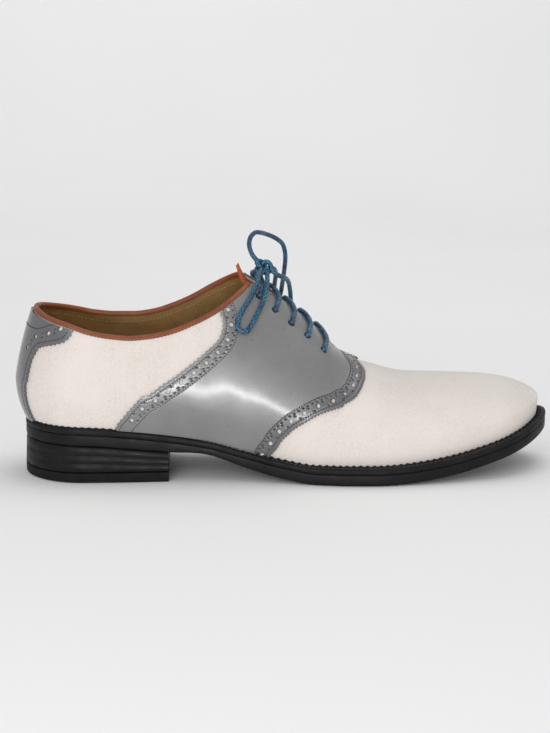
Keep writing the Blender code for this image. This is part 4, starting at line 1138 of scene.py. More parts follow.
class SHOE_OT_saddle(bpy.types.Operator):
    """The calf saddle: its smooth panel, the two perforated bands and their thread."""

    bl_idname = "saddle_shoe.saddle"
    bl_label = "Saddle"

    def execute(self, context):
        looks = context.scene.saddle_shoe
        grey = finish_of("grey_calf", calf, "grey_calf", tuple(looks.calf))
        # The front band wears the darker copy of the calf as painted shade.
        dark = finish_of("dark_calf", calf, "dark_calf", tuple(looks.dark_calf))
        bands = {(edge, side): Band(edge, side) for edge in ("rear", "front") for side in SIDES}
        settle(self.panel(bands, grey), "grey_leather", "saddle")
        rear, rear_seats = self.rear_bands(bands, grey, looks)
        front, front_seats = self.front_band(bands, dark, looks)
        settle(rear, "grey_leather")
        settle(front, "grey_leather")
        white = finish_of("brushed_nubuck", nubuck, tuple(looks.nubuck))
        settle(backing("saddle_backing", rear_seats + front_seats, white), "white_nubuck")
        settle(self.stitches(bands, looks), "grey_leather")
        return {"FINISHED"}

    def panel(self, bands, finish):
        """Between the inner seams of both bands; each row of the grid runs along the shoe."""
        rows, columns = 110, 96
        share = np.linspace(0, 1, rows)
        overlap = 0.985
        turns, rises = {}, {}
        for side in SIDES:
            rear = bands["rear", side].station(share, overlap)
            front = bands["front", side].station(share, overlap)
            throat = (THROAT_END - rear[-1]) / (front[-1] - rear[-1])
            spread = np.concatenate([np.linspace(0, throat, columns - 8), np.linspace(throat, 1, 9)[1:]])
            turns[side] = turn_of(rear[None, :] + spread[:, None] * (front - rear)[None, :])
            rises[side] = overlay_rise(turns[side], share[None, :], side)
        closed = station_of(turns[LATERAL][:, -1]) >= THROAT_END - 1e-6
        number, quads, size = sewn_sheet(turns[LATERAL], rises, (), closed)
        lift = OVERLAY_GAP + OVERLAY_THICKNESS - 0.00008
        sheets = []
        for height in (lift, OVERLAY_GAP * 0.4):
            total = np.zeros((size, 3))
            hits = np.zeros(size)
            for grid, side in zip(number, SIDES):
                made = skin(turns[side], rises[side], side, height)
                np.add.at(total, grid.ravel(), made.reshape(-1, 3))
                np.add.at(hits, grid.ravel(), 1)
            sheets.append(total / hits[:, None])
        top, under = sheets
        holes = np.vstack([eyelets(side, lift) for side in SIDES])
        quads = punch_round(top, under, quads, holes, EYELET_DIAMETER / 2, 0.0009)
        points, faces = close_wall(top, under, quads)
        points, faces, _ = trim_loose(points, faces)
        made = add_object("saddle_panel", points, faces, finish, tone=np.zeros(len(points)))
        turn_outward(made)
        return made

    def half_band(self, band, looks, columns=25):
        """Top and under sheets of a strip on one side: rows up the edge, columns across it.

        The cut edge goes in and out with the pinking; the shift fades over the first few columns.
        """
        rows = int(band.length[-1] / 0.00042)
        along = np.linspace(0, band.length[-1], rows)
        share = np.interp(along, band.length, band.shares)
        across = np.linspace(0, 1, columns)
        station = band.station(share[:, None], across[None, :])
        distance = across * BAND_WIDTH
        top = band.points(share[:, None], station, band_lift(distance)[None, :])
        under = band.points(share[:, None], station, OVERLAY_GAP * 0.3)
        inward = np.stack([np.interp(share, band.shares, band.inward[:, axis]) for axis in range(3)], -1)
        pitch = looks.rear_teeth if band.edge == "rear" else looks.front_teeth
        wave = (tooth(along, pitch) - 0.5) * TOOTH_DEPTH
        fade = np.clip(1 - distance / TOOTH_FADE, 0, 1)
        shift = -inward[:, None] * (wave[:, None] * fade[None, :])[..., None]
        return top + shift, under + shift

    def punched(self, top, under, centres, pins):
        """A grid of strip points closed as a wall, with holes and pinholes: points, cells and tone."""
        quads = grid_quads(*top.shape[:2])
        top, under = top.reshape(-1, 3).copy(), under.reshape(-1, 3).copy()
        quads = punch_round(top, under, quads, centres, HOLE_DIAMETER / 2, 0.00042)
        # The rims of the large holes get painted shade through the tone.
        tone = hole_rim_shade(top, centres)
        prick(top, under, tone, pins, PIN_DIAMETER / 2, PIN_DEPTH)
        points, faces = close_wall(top, under, quads)
        return trim_loose(points, faces, np.concatenate([tone, np.zeros(len(under))]))

    def marks(self, band, looks, known):
        """Centres of the large holes, of their pale backing, and of the pinholes.

        One hole lies at the known share and the others at the pitch from it. Pinholes lie in pairs between
        the holes and in a row beside the inner seam.
        """
        lift = OVERLAY_GAP + OVERLAY_THICKNESS
        middle = HOLE_LINE / BAND_WIDTH
        pitch = looks.hole_pitch
        start = math.fmod(np.interp(known, band.shares, measure(band.line(middle, lift))), pitch)
        holes = spaced(band.line(middle, lift), pitch, start)
        low = spaced(band.line(middle, OVERLAY_GAP + OVERLAY_THICKNESS * BACKING_SHARE), pitch, start)
        pins = [spaced(band.line(middle + side * PIN_SPREAD / BAND_WIDTH, lift), pitch, start + pitch / 2)
                for side in (-1, 1)]
        pins.append(spaced(band.line((INNER_SEAM - PIN_SPREAD) / BAND_WIDTH, lift), pitch / 3, start))
        return holes, low[:len(holes)], np.vstack(pins)

    def rear_bands(self, bands, finish, looks):
        """Both halves of the rear strip, each stopping under the collar."""
        parts, seats = [], []
        for side in SIDES:
            band = bands["rear", side]
            top, under = self.half_band(band, looks)
            holes, low, pins = self.marks(band, looks, REAR_TOP_HOLE)
            parts.append(self.punched(top, under, holes, pins))
            seats.append((low, holes[:len(low)] - low))
        points, faces = join_rows([(p, f) for p, f, _ in parts])
        made = add_object("saddle_rear_band", points, faces, finish, tone=np.concatenate([t for _, _, t in parts]))
        turn_outward(made)
        return made, seats

    def front_band(self, bands, finish, looks):
        """One strip from the lateral foot over the vamp to the medial foot."""
        tops, unders, holes, pins, seats = [], [], [], [], []
        for side in SIDES:
            band = bands["front", side]
            top, under = self.half_band(band, looks)
            some, low, more = self.marks(band, looks, FRONT_TOP_HOLE)
            tops.append(top)
            unders.append(under)
            holes.append(some)
            pins.append(more)
            seats.append((low, some[:len(low)] - low))
        tops[0][-1] = (tops[0][-1] + tops[1][-1]) / 2
        unders[0][-1] = (unders[0][-1] + unders[1][-1]) / 2
        top = np.concatenate([tops[0], tops[1][:-1][::-1]])
        under = np.concatenate([unders[0], unders[1][:-1][::-1]])
        points, faces, tone = self.punched(top, under, np.vstack(holes), np.vstack(pins))
        made = add_object("saddle_front_band", points, faces, finish, tone=tone)
        turn_outward(made)
        return made, seats

    def stitches(self, bands, looks):
        """Two rows of dark thread along each strip."""
        thread = finish_of("dark_thread", thread_finish, "dark_thread", (0.022, 0.022, 0.024))
        rows = []
        for band in bands.values():
            for seam in (EDGE_SEAM, INNER_SEAM):
                lift = float(band_lift(np.array(seam)))
                line = band.line(seam / BAND_WIDTH, lift)
                outward = line - band.line(seam / BAND_WIDTH, 0.0)
                rows.append(thread_row(line, outward, looks.stitch_pitch, 0.62, THREAD))
        points, cells = join_rows(rows)
        return add_object("saddle_stitches", points, cells, thread)


class SHOE_OT_counter(bpy.types.Operator):
    """The calf counter round the heel, pinked, perforated and stitched."""

    bl_idname = "saddle_shoe.counter"
    bl_label = "Heel counter"

    def execute(self, context):
        looks = context.scene.saddle_shoe
        # The counter wears the darker copy of the calf as painted shade.
        grey = finish_of("dark_calf", calf, "dark_calf", tuple(looks.dark_calf))
        settle(self.leather(looks, grey), "grey_leather", "heel_counter")
        white = finish_of("brushed_nubuck", nubuck, tuple(looks.nubuck))
        settle(backing("counter_backing", self.hole_seats(), white), "white_nubuck")
        settle(self.stitches(looks), "grey_leather")
        return {"FINISHED"}

    def on_surface(self, share, station, side, lift):
        turn = turn_of(station)
        return skin(turn, overlay_rise(turn, share, side), side, lift)

    def leather(self, looks, finish):
        """Columns from the back to the cut edge; rows at even lengths along that edge."""
        dense = np.linspace(0, 1, 600)
        columns = 72
        lengths = {}
        for side in SIDES:
            lengths[side] = measure(self.on_surface(dense, curve(COUNTER_COLUMNS, COUNTER, "edge", dense), side, 0.0))
        rows = int(lengths[LATERAL][-1] / 0.00045)
        share = np.interp(np.linspace(0, 1, rows) * lengths[LATERAL][-1], lengths[LATERAL], dense)
        edge = curve(COUNTER_COLUMNS, COUNTER, "edge", share)
        spread = np.linspace(0, 1, columns) ** 0.9
        turns = spread[:, None] * turn_of(edge)[None, :]
        rises = {side: overlay_rise(turns, share[None, :], side) for side in SIDES}
        number, quads, size = sewn_sheet(turns, rises, (0,), np.zeros(columns, bool))
        face = OVERLAY_GAP + OVERLAY_THICKNESS
        top = sheet_points(number, size, turns, rises, face)
        under = sheet_points(number, size, turns, rises, OVERLAY_GAP * 0.3)
        for grid, side in zip(number, SIDES):
            at_edge = top[grid[-1]]
            length = measure(at_edge)
            row = unit(top[grid[-2]] - at_edge)
            along = unit(np.gradient(at_edge, axis=0))
            inward = unit(row - (row * along).sum(-1, keepdims=True) * along)
            wave = (tooth(length, looks.counter_teeth) - 0.5) * TOOTH_DEPTH
            for k in range(1, 6):
                distance = np.linalg.norm(top[grid[-k]] - at_edge, axis=1)
                fade = np.clip(1 - distance / TOOTH_FADE, 0, 1)
                shift = -inward * (wave * fade)[:, None]
                top[grid[-k]] += shift
                under[grid[-k]] += shift
        holes = [self.on_surface(np.array(s), np.array(at), side, face) for side in SIDES for s, at in COUNTER_HOLES]
        quads = punch_round(top, under, quads, holes, HOLE_DIAMETER / 2, 0.00050)
        # The rims of the large holes get painted shade through the tone.
        tone = hole_rim_shade(top, holes)
        pins = []
        for side in SIDES:
            marks = np.array(COUNTER_HOLES)
            between = (marks[:-1] + marks[1:]) / 2
            for up in (-1, 1):
                pins += [self.on_surface(np.array(s + 0.018 * up), np.array(at), side, face) for s, at in between]
        prick(top, under, tone, pins, PIN_DIAMETER / 2, PIN_DEPTH)
        points, faces = close_wall(top, under, quads)
        points, faces, tone = trim_loose(points, faces, np.concatenate([tone, np.zeros(len(under))]))
        made = add_object("counter_leather", points, faces, finish, tone=tone)
        turn_outward(made)
        return made

    def hole_seats(self):
        """Place and way out of the backing in each hole."""
        low = OVERLAY_GAP + OVERLAY_THICKNESS * BACKING_SHARE
        seats = []
        for side in SIDES:
            share, station = np.array(COUNTER_HOLES).T
            seat = self.on_surface(share, station, side, low)
            seats.append((seat, self.on_surface(share, station, side, OVERLAY_GAP + OVERLAY_THICKNESS) - seat))
        return seats

    def stitches(self, looks):
        """A row inside the cut edge and one along the top of the perforations."""
        thread = finish_of("dark_thread", thread_finish, "dark_thread", (0.022, 0.022, 0.024))
        face = OVERLAY_GAP + OVERLAY_THICKNESS
        rows = []
        for side in SIDES:
            share = np.linspace(0.01, 0.985, 300)
            station = curve(COUNTER_COLUMNS, COUNTER, "edge", share)
            place = lambda s, at, lift, side=side: self.on_surface(s, at, side, lift)
            reach = offset_stations(place, station, share, -1, np.array([EDGE_SEAM]), 0.05)[:, 0]
            line = self.on_surface(share, station - reach, side, face)
            under = self.on_surface(share, station - reach, side, 0.0)
            rows.append(thread_row(line, line - under, looks.stitch_pitch, 0.62, THREAD))
            seam = np.array(COUNTER_SEAM)
            steps = np.linspace(0, 1, 80)
            at = np.linspace(0, 1, len(seam))
            share = np.interp(steps, at, seam[:, 0])
            station = np.interp(steps, at, seam[:, 1])
            line = self.on_surface(share, station, side, face)
            under = self.on_surface(share, station, side, 0.0)
            rows.append(thread_row(line, line - under, looks.stitch_pitch, 0.62, THREAD))
        points, cells = join_rows(rows)
        return add_object("counter_stitches", points, cells, thread)


class SHOE_OT_binding(bpy.types.Operator):
    """The rolled leather edge of the collar and the thread below it."""

    bl_idname = "saddle_shoe.binding"
    bl_label = "Collar binding"

    def execute(self, context):
        looks = context.scene.saddle_shoe
        red = finish_of("binding_calf", plain_leather, "binding_calf", tuple(looks.binding), 0.46, 0.25, 1100,
                        0.00015, 0.15)
        outer, inner = self.rim()
        line = (outer + inner) / 2
        across = unit(outer - inner)
        up = unit(np.cross(unit(np.gradient(line, axis=0)), across))
        up *= np.sign(up[:, 2:])
        half, high = BINDING_WIDTH / 2, BINDING_HEIGHT - CLEARANCE
        angle = np.linspace(-0.12, math.pi + 0.12, 15)
        ring = [line + across * half * math.cos(a) + up * (CLEARANCE * 0.4 + max(0.0, math.sin(a)) * high
                                                         - 0.0009 * max(0.0, -math.sin(a) / 0.12))
                for a in angle]
        rings = np.stack(ring, 1)
        count, sides = rings.shape[:2]
        k = np.arange(count - 1)[:, None]
        j = np.arange(sides)[None, :]
        after = (j + 1) % sides
        quads = np.stack([k * sides + j, k * sides + after, (k + 1) * sides + after, (k + 1) * sides + j], -1)
        faces = quads.reshape(-1, 4).tolist()
        faces.append(list(range(sides)))
        faces.append(list(range((count - 1) * sides, count * sides))[::-1])
        made = add_object("rolled_binding", rings.reshape(-1, 3), faces, red)
        turn_outward(made)
        settle(made, "binding_leather", "collar_binding")
        thread = finish_of("binding_thread", thread_finish, "binding_thread", (0.10, 0.035, 0.02))
        below = outer - up * 0.0006 + across * 0.00022
        points, cells = thread_row(below, across, 0.0021, 0.62, 0.00036)
        settle(add_object("binding_stitches", points, cells, thread), "binding_leather")
        return {"FINISHED"}

    def rim(self):
        """Outer and inner edge of the upper's rim, from the lateral front corner round the back."""
        halves = []
        for side in SIDES:
            turns = np.linspace(0, float(turn_of(THROAT_START + 0.02)), 260)
            column = Column(turns, side)
            collar = column.rise_at_height(collar_height(side)) < column.rise_at_distance(throat_gap(turns))
            turns = turns[:int(np.argmin(collar))] if not collar.all() else turns
            rises = top_rise(turns, side)
            halves.append([skin(turns, rises, side, lift) for lift in (0.0, -UPPER_WALL)])
        (lateral_out, lateral_in), (medial_out, medial_in) = halves
        return np.vstack([lateral_out[::-1], medial_out[1:]]), np.vstack([lateral_in[::-1], medial_in[1:]])


class SHOE_OT_tongue(bpy.types.Operator):
    """The tongue under the throat and its free top."""

    bl_idname = "saddle_shoe.tongue"
    bl_label = "Tongue"

    def execute(self, context):
        looks = context.scene.saddle_shoe
        finish = finish_of("tongue_calf", plain_leather, "tongue_calf", tuple(looks.tongue), 0.55, 0.2, 800,
                           0.0002)
        along = np.linspace(TONGUE_START, TONGUE_END, 90)
        half = np.interp(along, (TONGUE_START, TONGUE_START + TONGUE_SHOULDER, TONGUE_END),
                         (TONGUE_TOP_HALF, TONGUE_HALF, TONGUE_TIP_HALF))
        across = np.linspace(1, 0, 18)
        turns = np.repeat(turn_of(along)[:, None], len(across), axis=1)
        distance = half[:, None] * across[None, :]
        under = -UPPER_WALL / 2 - BINDING_WIDTH / 2 - 2 * CLEARANCE
        sheets = []
        steps = 16
        for lift in (under, under - TONGUE_THICKNESS):
            halves = [skin(turns, Column(turns, side).rise_at_distance(distance), side, lift) for side in SIDES]
            sheet = np.concatenate([halves[0], halves[1][:, -2::-1]], axis=1)
            lean = np.radians(np.linspace(*TONGUE_LEAN, steps))
            step = np.stack([-np.cos(lean), np.zeros(steps), np.sin(lean)], -1) * TONGUE_FREE / steps
            free = sheet[0] + np.cumsum(step, axis=0)[:, None, :]
            rounding = np.sqrt(1 - np.clip((np.arange(steps) - steps + 6) / 6.5, 0, 1) ** 2)
            middle = free[:, free.shape[1] // 2][:, None]
            free[:, :, 1] = middle[:, :, 1] + (free[:, :, 1] - middle[:, :, 1]) * rounding[:, None]
            sheets.append(np.concatenate([free[::-1], sheet]))
        top, low = sheets
        points, faces = close_wall(top.reshape(-1, 3), low.reshape(-1, 3), grid_quads(*top.shape[:2]))
        made = add_object("tongue_leather_piece", points, faces, finish)
        turn_outward(made)
        settle(made, "tongue_leather", "tongue")
        return {"FINISHED"}


def outline(turns, inset):
    """Closed plan outline of the sole drawn in by an inset: heel, lateral side, toe, medial side."""
    inset = np.broadcast_to(inset, turns.shape)
    lateral = plan(turns, LATERAL, inset)
    medial = plan(turns, MEDIAL, inset)[1:-1][::-1]
    return np.vstack([lateral, medial])


def raised(flat, height):
    """Plan points at the height of their x, in the frame."""
    return np.column_stack([flat, height(flat[:, 0])]) + LAST_PLACE


def ring_quads(rings, count, closed):
    """Cells between rings of like count, and from the last to the first where the profile is closed."""
    k = np.arange(rings if closed else rings - 1)[:, None]
    j = np.arange(count)[None, :]
    after = (j + 1) % count
    far = (k + 1) % rings
    return np.stack(np.broadcast_arrays(k * count + j, k * count + after, far * count + after, far * count + j),
                    -1).reshape(-1, 4)


def ladder(first, count, flip):
    """Rungs across a ring from its lateral to its medial points."""
    half = count // 2
    k = np.arange(1, half - 1)
    rungs = np.stack([first + k, first + k + 1, first + count - k - 1, first + count - k], -1).tolist()
    rungs.append([first, first + 1, first + count - 1])
    rungs.append([first + half - 1, first + half, first + half + 1])
    return [rung[::-1] for rung in rungs] if flip else rungs


def stacked(name, rings, finish):
    """A solid through rings from its top to its underside, closed by rungs."""
    count = len(rings[0])
    faces = ring_quads(len(rings), count, False).tolist()
    faces += ladder(0, count, False) + ladder((len(rings) - 1) * count, count, True)
    made = add_object(name, np.vstack(rings), faces, finish)
    turn_outward(made)
    return made


class SHOE_OT_sole(bpy.types.Operator):
    """Sock, wheeled welt, outsole, heel and top piece."""

    bl_idname = "saddle_shoe.sole"
    bl_label = "Sole"

    def execute(self, context):
        looks = context.scene.saddle_shoe
        black = tuple(looks.sole)
        edge = finish_of("inked_edge", sole_edge_black, "inked_edge", black, 0.45, 0.0)
        welt = finish_of("wheeled_welt", sole_edge_black, "wheeled_welt", shade(black, 1.15), 0.50, 0.0)
        rubber = finish_of("heel_rubber", sole_edge_black, "heel_rubber", shade(black, 0.9), 0.62, 0.0)
        tan = finish_of("lining_calf", plain_leather, "lining_calf", tuple(looks.lining), 0.62, 0.22, 900, 0.0002)
        settle(self.welt(looks.wheel_pitch, welt), "welt_black", "welt")
        settle(self.outsole(edge), "sole_black", "outsole")
        settle(self.sock(tan), "tan_lining", "insole")
        block, piece = self.heel(edge, rubber)
        settle(block, "sole_black", "heel_block")
        settle(piece, "top_piece_rubber", "heel_top_piece")
        settle(self.welt_thread(), "welt_black")
        return {"FINISHED"}

    def outsole(self, finish):
        """Rounded edge: a row of rings whose inset and height follow a quarter circle at top and foot."""
        turns = stations(220, (HEEL_LENGTH / SHOE_LENGTH,))
        radius, joint = 0.0011, 0.0004
        bend = np.linspace(0, math.pi / 2, 5)
        rings = []
        for a in bend:
            inset = joint * (1 - math.sin(a))
            drop = CLEARANCE / 2 + joint * (1 - math.cos(a))
            rings.append(raised(outline(turns, inset), lambda x, d=drop: welt_bottom(x) - d))
        for share in (0.35, 0.7):
            rings.append(raised(outline(turns, -0.0001), lambda x, s=share: welt_bottom(x) - CLEARANCE - radius
                                - s * np.clip(welt_bottom(x) - CLEARANCE - outsole_bottom(x) - 2 * radius, 0, None)))
        for a in bend[::-1]:
            inset = radius * (1 - math.sin(a))
            rise = radius * (1 - math.cos(a))
            rings.append(raised(outline(turns, inset), lambda x, d=rise: outsole_bottom(x) + d))
        return stacked("outsole_leather", rings, finish)

    def welt(self, pitch, finish):
        """A ring with a wheeled ridge against the upper: the ridge's height is a wave of the length round."""
        turns = stations(760)
        inside = feather_inset(turns) + WELT_SEAT
        base = outline(turns, 0.0)
        loop = np.vstack([base, base[:1]])
        length = measure(loop)[:-1]
        whole = measure(loop)[-1]
        ribs = round(whole / pitch)
        wave = 0.5 + 0.5 * np.cos(length / whole * ribs * 2 * math.pi)
        inset_both = np.concatenate([feather_inset(turns), feather_inset(turns)[1:-1][::-1]])
        flat_top = 0.0001
        profile = ((0.0, 0.0005, 0.0), (0.12, 0.00012, 0.0), (0.34, flat_top, 0.2), (0.50, -0.0004, 0.7),
                   (0.68, -0.0011, 1.0), (0.92, -0.0011, 1.0), (1.02, 0.0, 0.0))
        rings = []
        for part, drop, wheel in profile:
            flat = outline(turns, part * feather_inset(turns))
            ring = raised(flat, welt_top)
            ring[:, 2] -= drop + 0.00095 * wheel * wave * np.clip(inset_both / WELT_REACH * 1.5, 0.5, 1)
            rings.append(ring)
        seat = raised(outline(turns, inside), lambda x: welt_top(x) - 0.0002)
        rings.append(seat)
        rings.append(raised(outline(turns, inside), welt_bottom))
        rings.append(raised(outline(turns, 0.0004), welt_bottom))
        rings.append(raised(outline(turns, 0.0001), lambda x: welt_bottom(x) + 0.0002))
        rings.append(raised(outline(turns, -0.00015), lambda x: welt_bottom(x) + 0.0009))
        rings.append(raised(outline(turns, -0.0002), lambda x: welt_bottom(x) + 0.0020))
        faces = ring_quads(len(rings), len(rings[0]), True).tolist()
        made = add_object("wheeled_welt_strip", np.vstack(rings), faces, finish)
        turn_outward(made)
        return made

    def welt_thread(self):
        """A row of black stitches on the welt round the forepart."""
        thread = finish_of("welt_thread", thread_finish, "welt_thread", (0.03, 0.03, 0.032))
        turns = stations(500)
        flat = outline(turns, 0.33 * feather_inset(turns))
        line = raised(flat, welt_top)
        keep = flat[:, 0] > 0.33 * SHOE_LENGTH
        line = line[keep]
        points, cells = thread_row(line, np.tile((0.0, 0.0, 1.0), (len(line), 1)), 0.0027, 0.7, 0.0004)
        return add_object("welt_stitches", points, cells, thread)

    def sock(self, finish):
        """Smooth sock over the insole, filling the upper's foot."""
        turns = stations(160)
        inside = feather_inset(turns) + UPPER_WALL + CLEARANCE
        rib = feather_inset(turns) + WELT_SEAT + CLEARANCE
        top = lambda x: welt_top(x) + CLEARANCE + INSOLE_THICKNESS
        ledge = lambda x: welt_top(x) + CLEARANCE
        rings = [raised(outline(turns, inside + 0.0006), top),
                 raised(outline(turns, inside), lambda x: top(x) - 0.0006),
                 raised(outline(turns, inside), ledge), raised(outline(turns, rib), ledge),
                 raised(outline(turns, rib), welt_bottom)]
        return stacked("sock", rings, finish)

    def heel_outline(self, turns, inset):
        """Outline of the heel: round the back and straight across its front."""
        lateral = plan(turns, LATERAL, np.full(turns.shape, inset))
        medial = plan(turns, MEDIAL, np.full(turns.shape, inset))[1:][::-1]
        front = HEEL_LENGTH
        lateral[-1, 0] = front
        medial[0, 0] = front
        return np.vstack([lateral, medial])

    def heel(self, finish, rubber):
        """Stacked lifts with a fine groove at each joint, and the top piece below."""
        turns = np.linspace(0, float(turn_of(HEEL_LENGTH / SHOE_LENGTH)), 90)
        flat_at = lambda z: (lambda x: np.full(x.shape, z))
        foot = TOP_PIECE_THICKNESS + CLEARANCE
        lifts = 3
        groove = 0.00022
        block = [raised(self.heel_outline(turns, 0.0012), lambda x: outsole_bottom(x) - CLEARANCE)]
        block.append(raised(self.heel_outline(turns, 0.0003), lambda x: outsole_bottom(x) - CLEARANCE - 0.0004))
        for k in range(lifts):
            for part, inset in ((0.03, groove), (0.10, 0.0), (0.90, 0.0), (0.97, groove)):
                share = (k + part) / lifts
                flare = -HEEL_FLARE * share
                block.append(raised(self.heel_outline(turns, inset + flare),
                                    lambda x, s=share: (outsole_bottom(x) - CLEARANCE - 0.0005) * (1 - s) + foot * s))
        block.append(raised(self.heel_outline(turns, 0.0006), flat_at(foot)))
        piece = [raised(self.heel_outline(turns, 0.0004), flat_at(TOP_PIECE_THICKNESS)),
                 raised(self.heel_outline(turns, -HEEL_FLARE), flat_at(TOP_PIECE_THICKNESS - 0.0005)),
                 raised(self.heel_outline(turns, -HEEL_FLARE), flat_at(0.0010)),
                 raised(self.heel_outline(turns, -HEEL_FLARE + 0.0003), flat_at(0.0003)),
                 raised(self.heel_outline(turns, 0.0), flat_at(0.0))]
        return self.heel_solid("heel_stack", block, finish), self.heel_solid("rubber_top_piece", piece, rubber)

    def heel_solid(self, name, rings, finish):
        """A solid through heel outlines, closed by rungs at top and foot."""
        count = len(rings[0])
        half = (count - 1) // 2
        k = np.arange(1, half)
        cap = np.stack([k, k + 1, count - k - 1, count - k], -1).tolist() + [[0, 1, count - 1]]
        last = (len(rings) - 1) * count
        faces = ring_quads(len(rings), count, False).tolist() + cap
        faces += [[last + i for i in rung[::-1]] for rung in cap]
        made = add_object(name, np.vstack(rings), faces, finish)
        turn_outward(made)
        return made


class SHOE_OT_lace(bpy.types.Operator):
    """The lace: five crossings, the knot, two loops and two ends with their tips."""

    bl_idname = "saddle_shoe.lace"
    bl_label = "Lace"

    def execute(self, context):
        looks = context.scene.saddle_shoe
        blue = finish_of("waxed_lace", waxed_braid, tuple(looks.lace))
        for k, station in enumerate(eyelet_stations()):
            made = round_tube(f"lace_crossing_{k + 1}", self.crossing(station), LACE_DIAMETER / 2, blue)
            settle(made, "blue_lace", f"lace_bar_{k + 1}")
        settle(self.knot(blue), "blue_lace", "lace_knot")
        tip_finish = finish_of("lace_tip", plain_leather, "lace_tip", (0.02, 0.05, 0.09), 0.3, 0.2, 600, 0.00005, 0.5)
        for name, route in LACE_ROUTES:
            self.cord(name, np.array(route) + LAST_PLACE, blue, tip_finish)
        return {"FINISHED"}

    def crossing(self, station):
        """Out of the lateral eyelet, over both facings and down into the medial one, with a lazy S."""
        radius = LACE_DIAMETER / 2
        over = OVERLAY_GAP + OVERLAY_THICKNESS + radius * 0.95
        spread = float(eyelet_spread(station))
        halves = []
        for side in SIDES:
            distance = np.concatenate([np.full(3, spread), np.linspace(spread - radius, 0, 9)])
            lift = np.concatenate([[-0.0035, -0.0005, over * 0.62], np.full(9, over)])
            lean = np.interp(distance, (0, 0.25 * spread, 0.55 * spread, spread), (0.0, 0.0016, 0.0022, 0.0))
            lean = lean if side == LATERAL else -1.6 * lean
            turn = turn_of(station + lean / SHOE_LENGTH)
            rise = Column(turn, side).rise_at_distance(distance)
            halves.append(skin(turn, rise, side, lift))
        lateral, medial = halves
        lateral[-1] = (lateral[-1] + medial[-1]) / 2
        route = np.vstack([lateral, medial[:-1][::-1]])
        return smooth(route, 90)

    def knot(self, finish):
        """A trefoil: the lace runs twice round and three times through, pulled tight over the top crossing."""
        t = np.linspace(0, 2 * math.pi, 180, endpoint=False)
        size = 0.0016
        x = (2 + np.cos(3 * t)) * np.cos(2 * t) * size
        y = (2 + np.cos(3 * t)) * np.sin(2 * t) * size
        z = np.sin(3 * t) * size * 1.1
        facing = unit(np.array([0.15, -0.75, 0.65]))
        beside = unit(np.cross(facing, (1.0, 0.0, 0.0)))
        level = np.cross(beside, facing)
        line = (level * x[:, None] + beside * y[:, None] + facing * z[:, None]
                + np.array(KNOT_PLACE) + LAST_PLACE)
        sides = LACE_SIDES
        along = unit(np.roll(line, -1, axis=0) - np.roll(line, 1, axis=0))
        middle = line - line.mean(0)
        across = unit(np.cross(along, middle))
        up = np.cross(along, across)
        angle = np.linspace(0, 2 * math.pi, sides, endpoint=False)
        ring = across[:, None] * np.cos(angle)[None, :, None] + up[:, None] * np.sin(angle)[None, :, None]
        points = (line[:, None] + LACE_DIAMETER / 2 * 0.98 * ring).reshape(-1, 3)
        quads = ring_quads(len(line), sides, True)
        length = measure(np.vstack([line, line[:1]]))
        k = np.repeat(np.arange(len(line)), sides)
        j = np.tile(np.arange(sides), len(line))
        u = np.stack([length[k], length[k], length[k + 1], length[k + 1]], -1)
        v = np.stack([j, j + 1, j + 1, j], -1) / sides
        uv = np.stack([u, v], -1).reshape(-1, 2)
        made = add_object("lace_bow_knot", points, quads, finish, uv=uv)
        turn_outward(made)
        return made

    def cord(self, name, route, finish, tip_finish):
        """A loop or an end along its route; an end stops in its tip."""
        length = np.linalg.norm(np.diff(route, axis=0), axis=1).sum()
        coarse = smooth(route, int(length / (CORD_STEP * LACE_DIAMETER)) + 2)
        line = smooth(coarse, int(length / 0.0007))
        made = round_tube(name + "_cord", line, LACE_DIAMETER / 2, finish)
        settle(made, "blue_lace", name)
        is_end = "end" in name
        if is_end:
            place = measure(line)
            last = line[place > place[-1] - TIP_LENGTH]
            last = np.vstack([last, last[-1] + (last[-1] - last[-2]) * 0.6])
            radius = np.full(len(last), LACE_DIAMETER / 2 + 0.00008)
            radius[-1] *= 0.8
            tip = round_tube(name + "_tip", last, radius, tip_finish)
            settle(tip, "blue_lace")


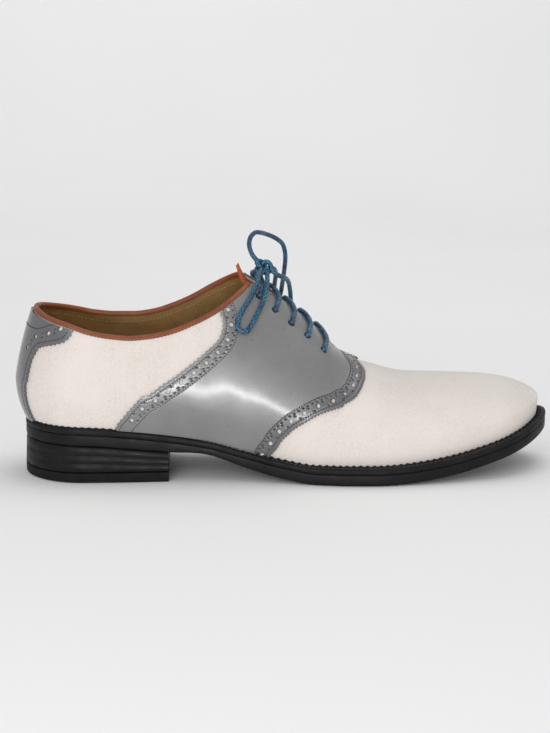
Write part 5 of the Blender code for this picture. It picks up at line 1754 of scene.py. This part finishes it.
class SHOE_OT_stage(bpy.types.Operator):
    """Pale floor, soft lights and the camera."""

    bl_idname = "saddle_shoe.stage"
    bl_label = "Stage"

    def execute(self, context):
        self.floor()
        self.world(context.scene)
        self.lights()
        self.camera(context.scene)
        return {"FINISHED"}

    def floor(self):
        """A wide floor, its far part curving up into the backdrop."""
        made, tree, shader = flat_tone("paper", (0.93, 0.93, 0.93), 0.9)
        cloud = ramp(tree, noise(tree, 2.0, 2, object_place(tree)), 0, 1)
        tree.links.new(blend_colours(tree, cloud, (0.92, 0.92, 0.92), (0.94, 0.94, 0.94)), shader.inputs["Base Color"])
        shader.inputs["Specular IOR Level"].default_value = 0.1
        across = np.linspace(-4, 4, 9)
        along = np.concatenate([np.linspace(-3, 1.5, 10), 1.5 + np.linspace(0.1, 1, 10)])
        height = np.where(along > 1.5, 2.2 * (along - 1.5) ** 2, 0.0) - 0.0002
        grid = np.stack(np.meshgrid(across, along, indexing="ij") + [np.tile(height, (9, 1))], -1)
        quads = grid_quads(len(across), len(along))
        add_object("paper_floor", grid.reshape(-1, 3), quads, made)

    def world(self, scene):
        """Even pale surroundings."""
        sky = bpy.data.worlds.new("studio")
        sky.use_nodes = True
        sky.node_tree.nodes["Background"].inputs["Color"].default_value = (1.0, 1.0, 1.0, 1)
        sky.node_tree.nodes["Background"].inputs["Strength"].default_value = 0.55
        scene.world = sky
        scene.view_settings.view_transform = "Standard"
        scene.view_settings.look = "None"

    def lights(self):
        """Soft boxes: name, place, where each looks, its two sides, roll in degrees and power.

        The strip lies where the mirror rays of the saddle's long highlight meet, low in front.
        """
        boxes = (("key", (-0.45, -1.1, 0.60), (0.0, 0.0, 0.05), (0.5, 0.5), 0.0, 2.6),
                 ("top", (0.25, 0.15, 1.25), (0.02, 0.0, 0.05), (0.8, 0.8), 0.0, 3.5),
                 ("strip", (-0.10, -0.90, 0.075), (-0.03, -0.04, 0.05), (0.38, 0.035), -24.0, 2.9),
                 ("backdrop", (0.0, 1.0, 1.6), (0.0, 2.3, 0.6), (2.5, 0.8), 0.0, 8.0))
        for name, place, target, sides, roll, power in boxes:
            data = bpy.data.lights.new(name, "AREA")
            data.shape = "RECTANGLE"
            data.size, data.size_y = sides
            data.energy = power
            lamp = bpy.data.objects.new(name, data)
            bpy.context.collection.objects.link(lamp)
            aim = (Vector(target) - Vector(place)).to_track_quat("-Z", "Y")
            lamp.location = place
            lamp.rotation_euler = (aim @ Quaternion((0, 0, 1), math.radians(roll))).to_euler()

    def camera(self, scene):
        """The lateral side from a little behind the middle, looking slightly down."""
        data = bpy.data.cameras.new("view")
        data.lens = 61.3
        data.sensor_width = 36.0
        seen = bpy.data.objects.new("view", data)
        bpy.context.collection.objects.link(seen)
        seen.location = np.array([0.0968, -0.7286, 0.207]) + LAST_PLACE
        seen.rotation_euler = (math.radians(78.59), 0, math.radians(-4.0))
        scene.camera = seen


class SHOE_PT_panel(bpy.types.Panel):
    """Colours, sizes and a button for each group of pieces."""

    bl_idname = "SHOE_PT_panel"
    bl_label = "Saddle Shoe"
    bl_space_type = "VIEW_3D"
    bl_region_type = "UI"
    bl_category = "Shoe"

    def draw(self, context):
        looks = context.scene.saddle_shoe
        for name in ShoeLooks.__annotations__:
            self.layout.prop(looks, name)
        for operator in OPERATORS:
            self.layout.operator(operator.bl_idname)


OPERATORS = (SHOE_OT_stage, SHOE_OT_lace, SHOE_OT_upper, SHOE_OT_saddle, SHOE_OT_counter, SHOE_OT_binding,
             SHOE_OT_tongue, SHOE_OT_sole)
CLASSES = (ShoeLooks, *OPERATORS, SHOE_PT_panel)


def register():
    for one in CLASSES:
        bpy.utils.register_class(one)
    bpy.types.Scene.saddle_shoe = bpy.props.PointerProperty(type=ShoeLooks)


def unregister():
    del bpy.types.Scene.saddle_shoe
    for one in reversed(CLASSES):
        bpy.utils.unregister_class(one)


def main():
    register()
    bpy.ops.saddle_shoe.stage()
    bpy.ops.saddle_shoe.lace()
    bpy.ops.saddle_shoe.upper()
    bpy.ops.saddle_shoe.saddle()
    bpy.ops.saddle_shoe.counter()
    bpy.ops.saddle_shoe.binding()
    bpy.ops.saddle_shoe.tongue()
    bpy.ops.saddle_shoe.sole()


if __name__ == "__main__":
    main()
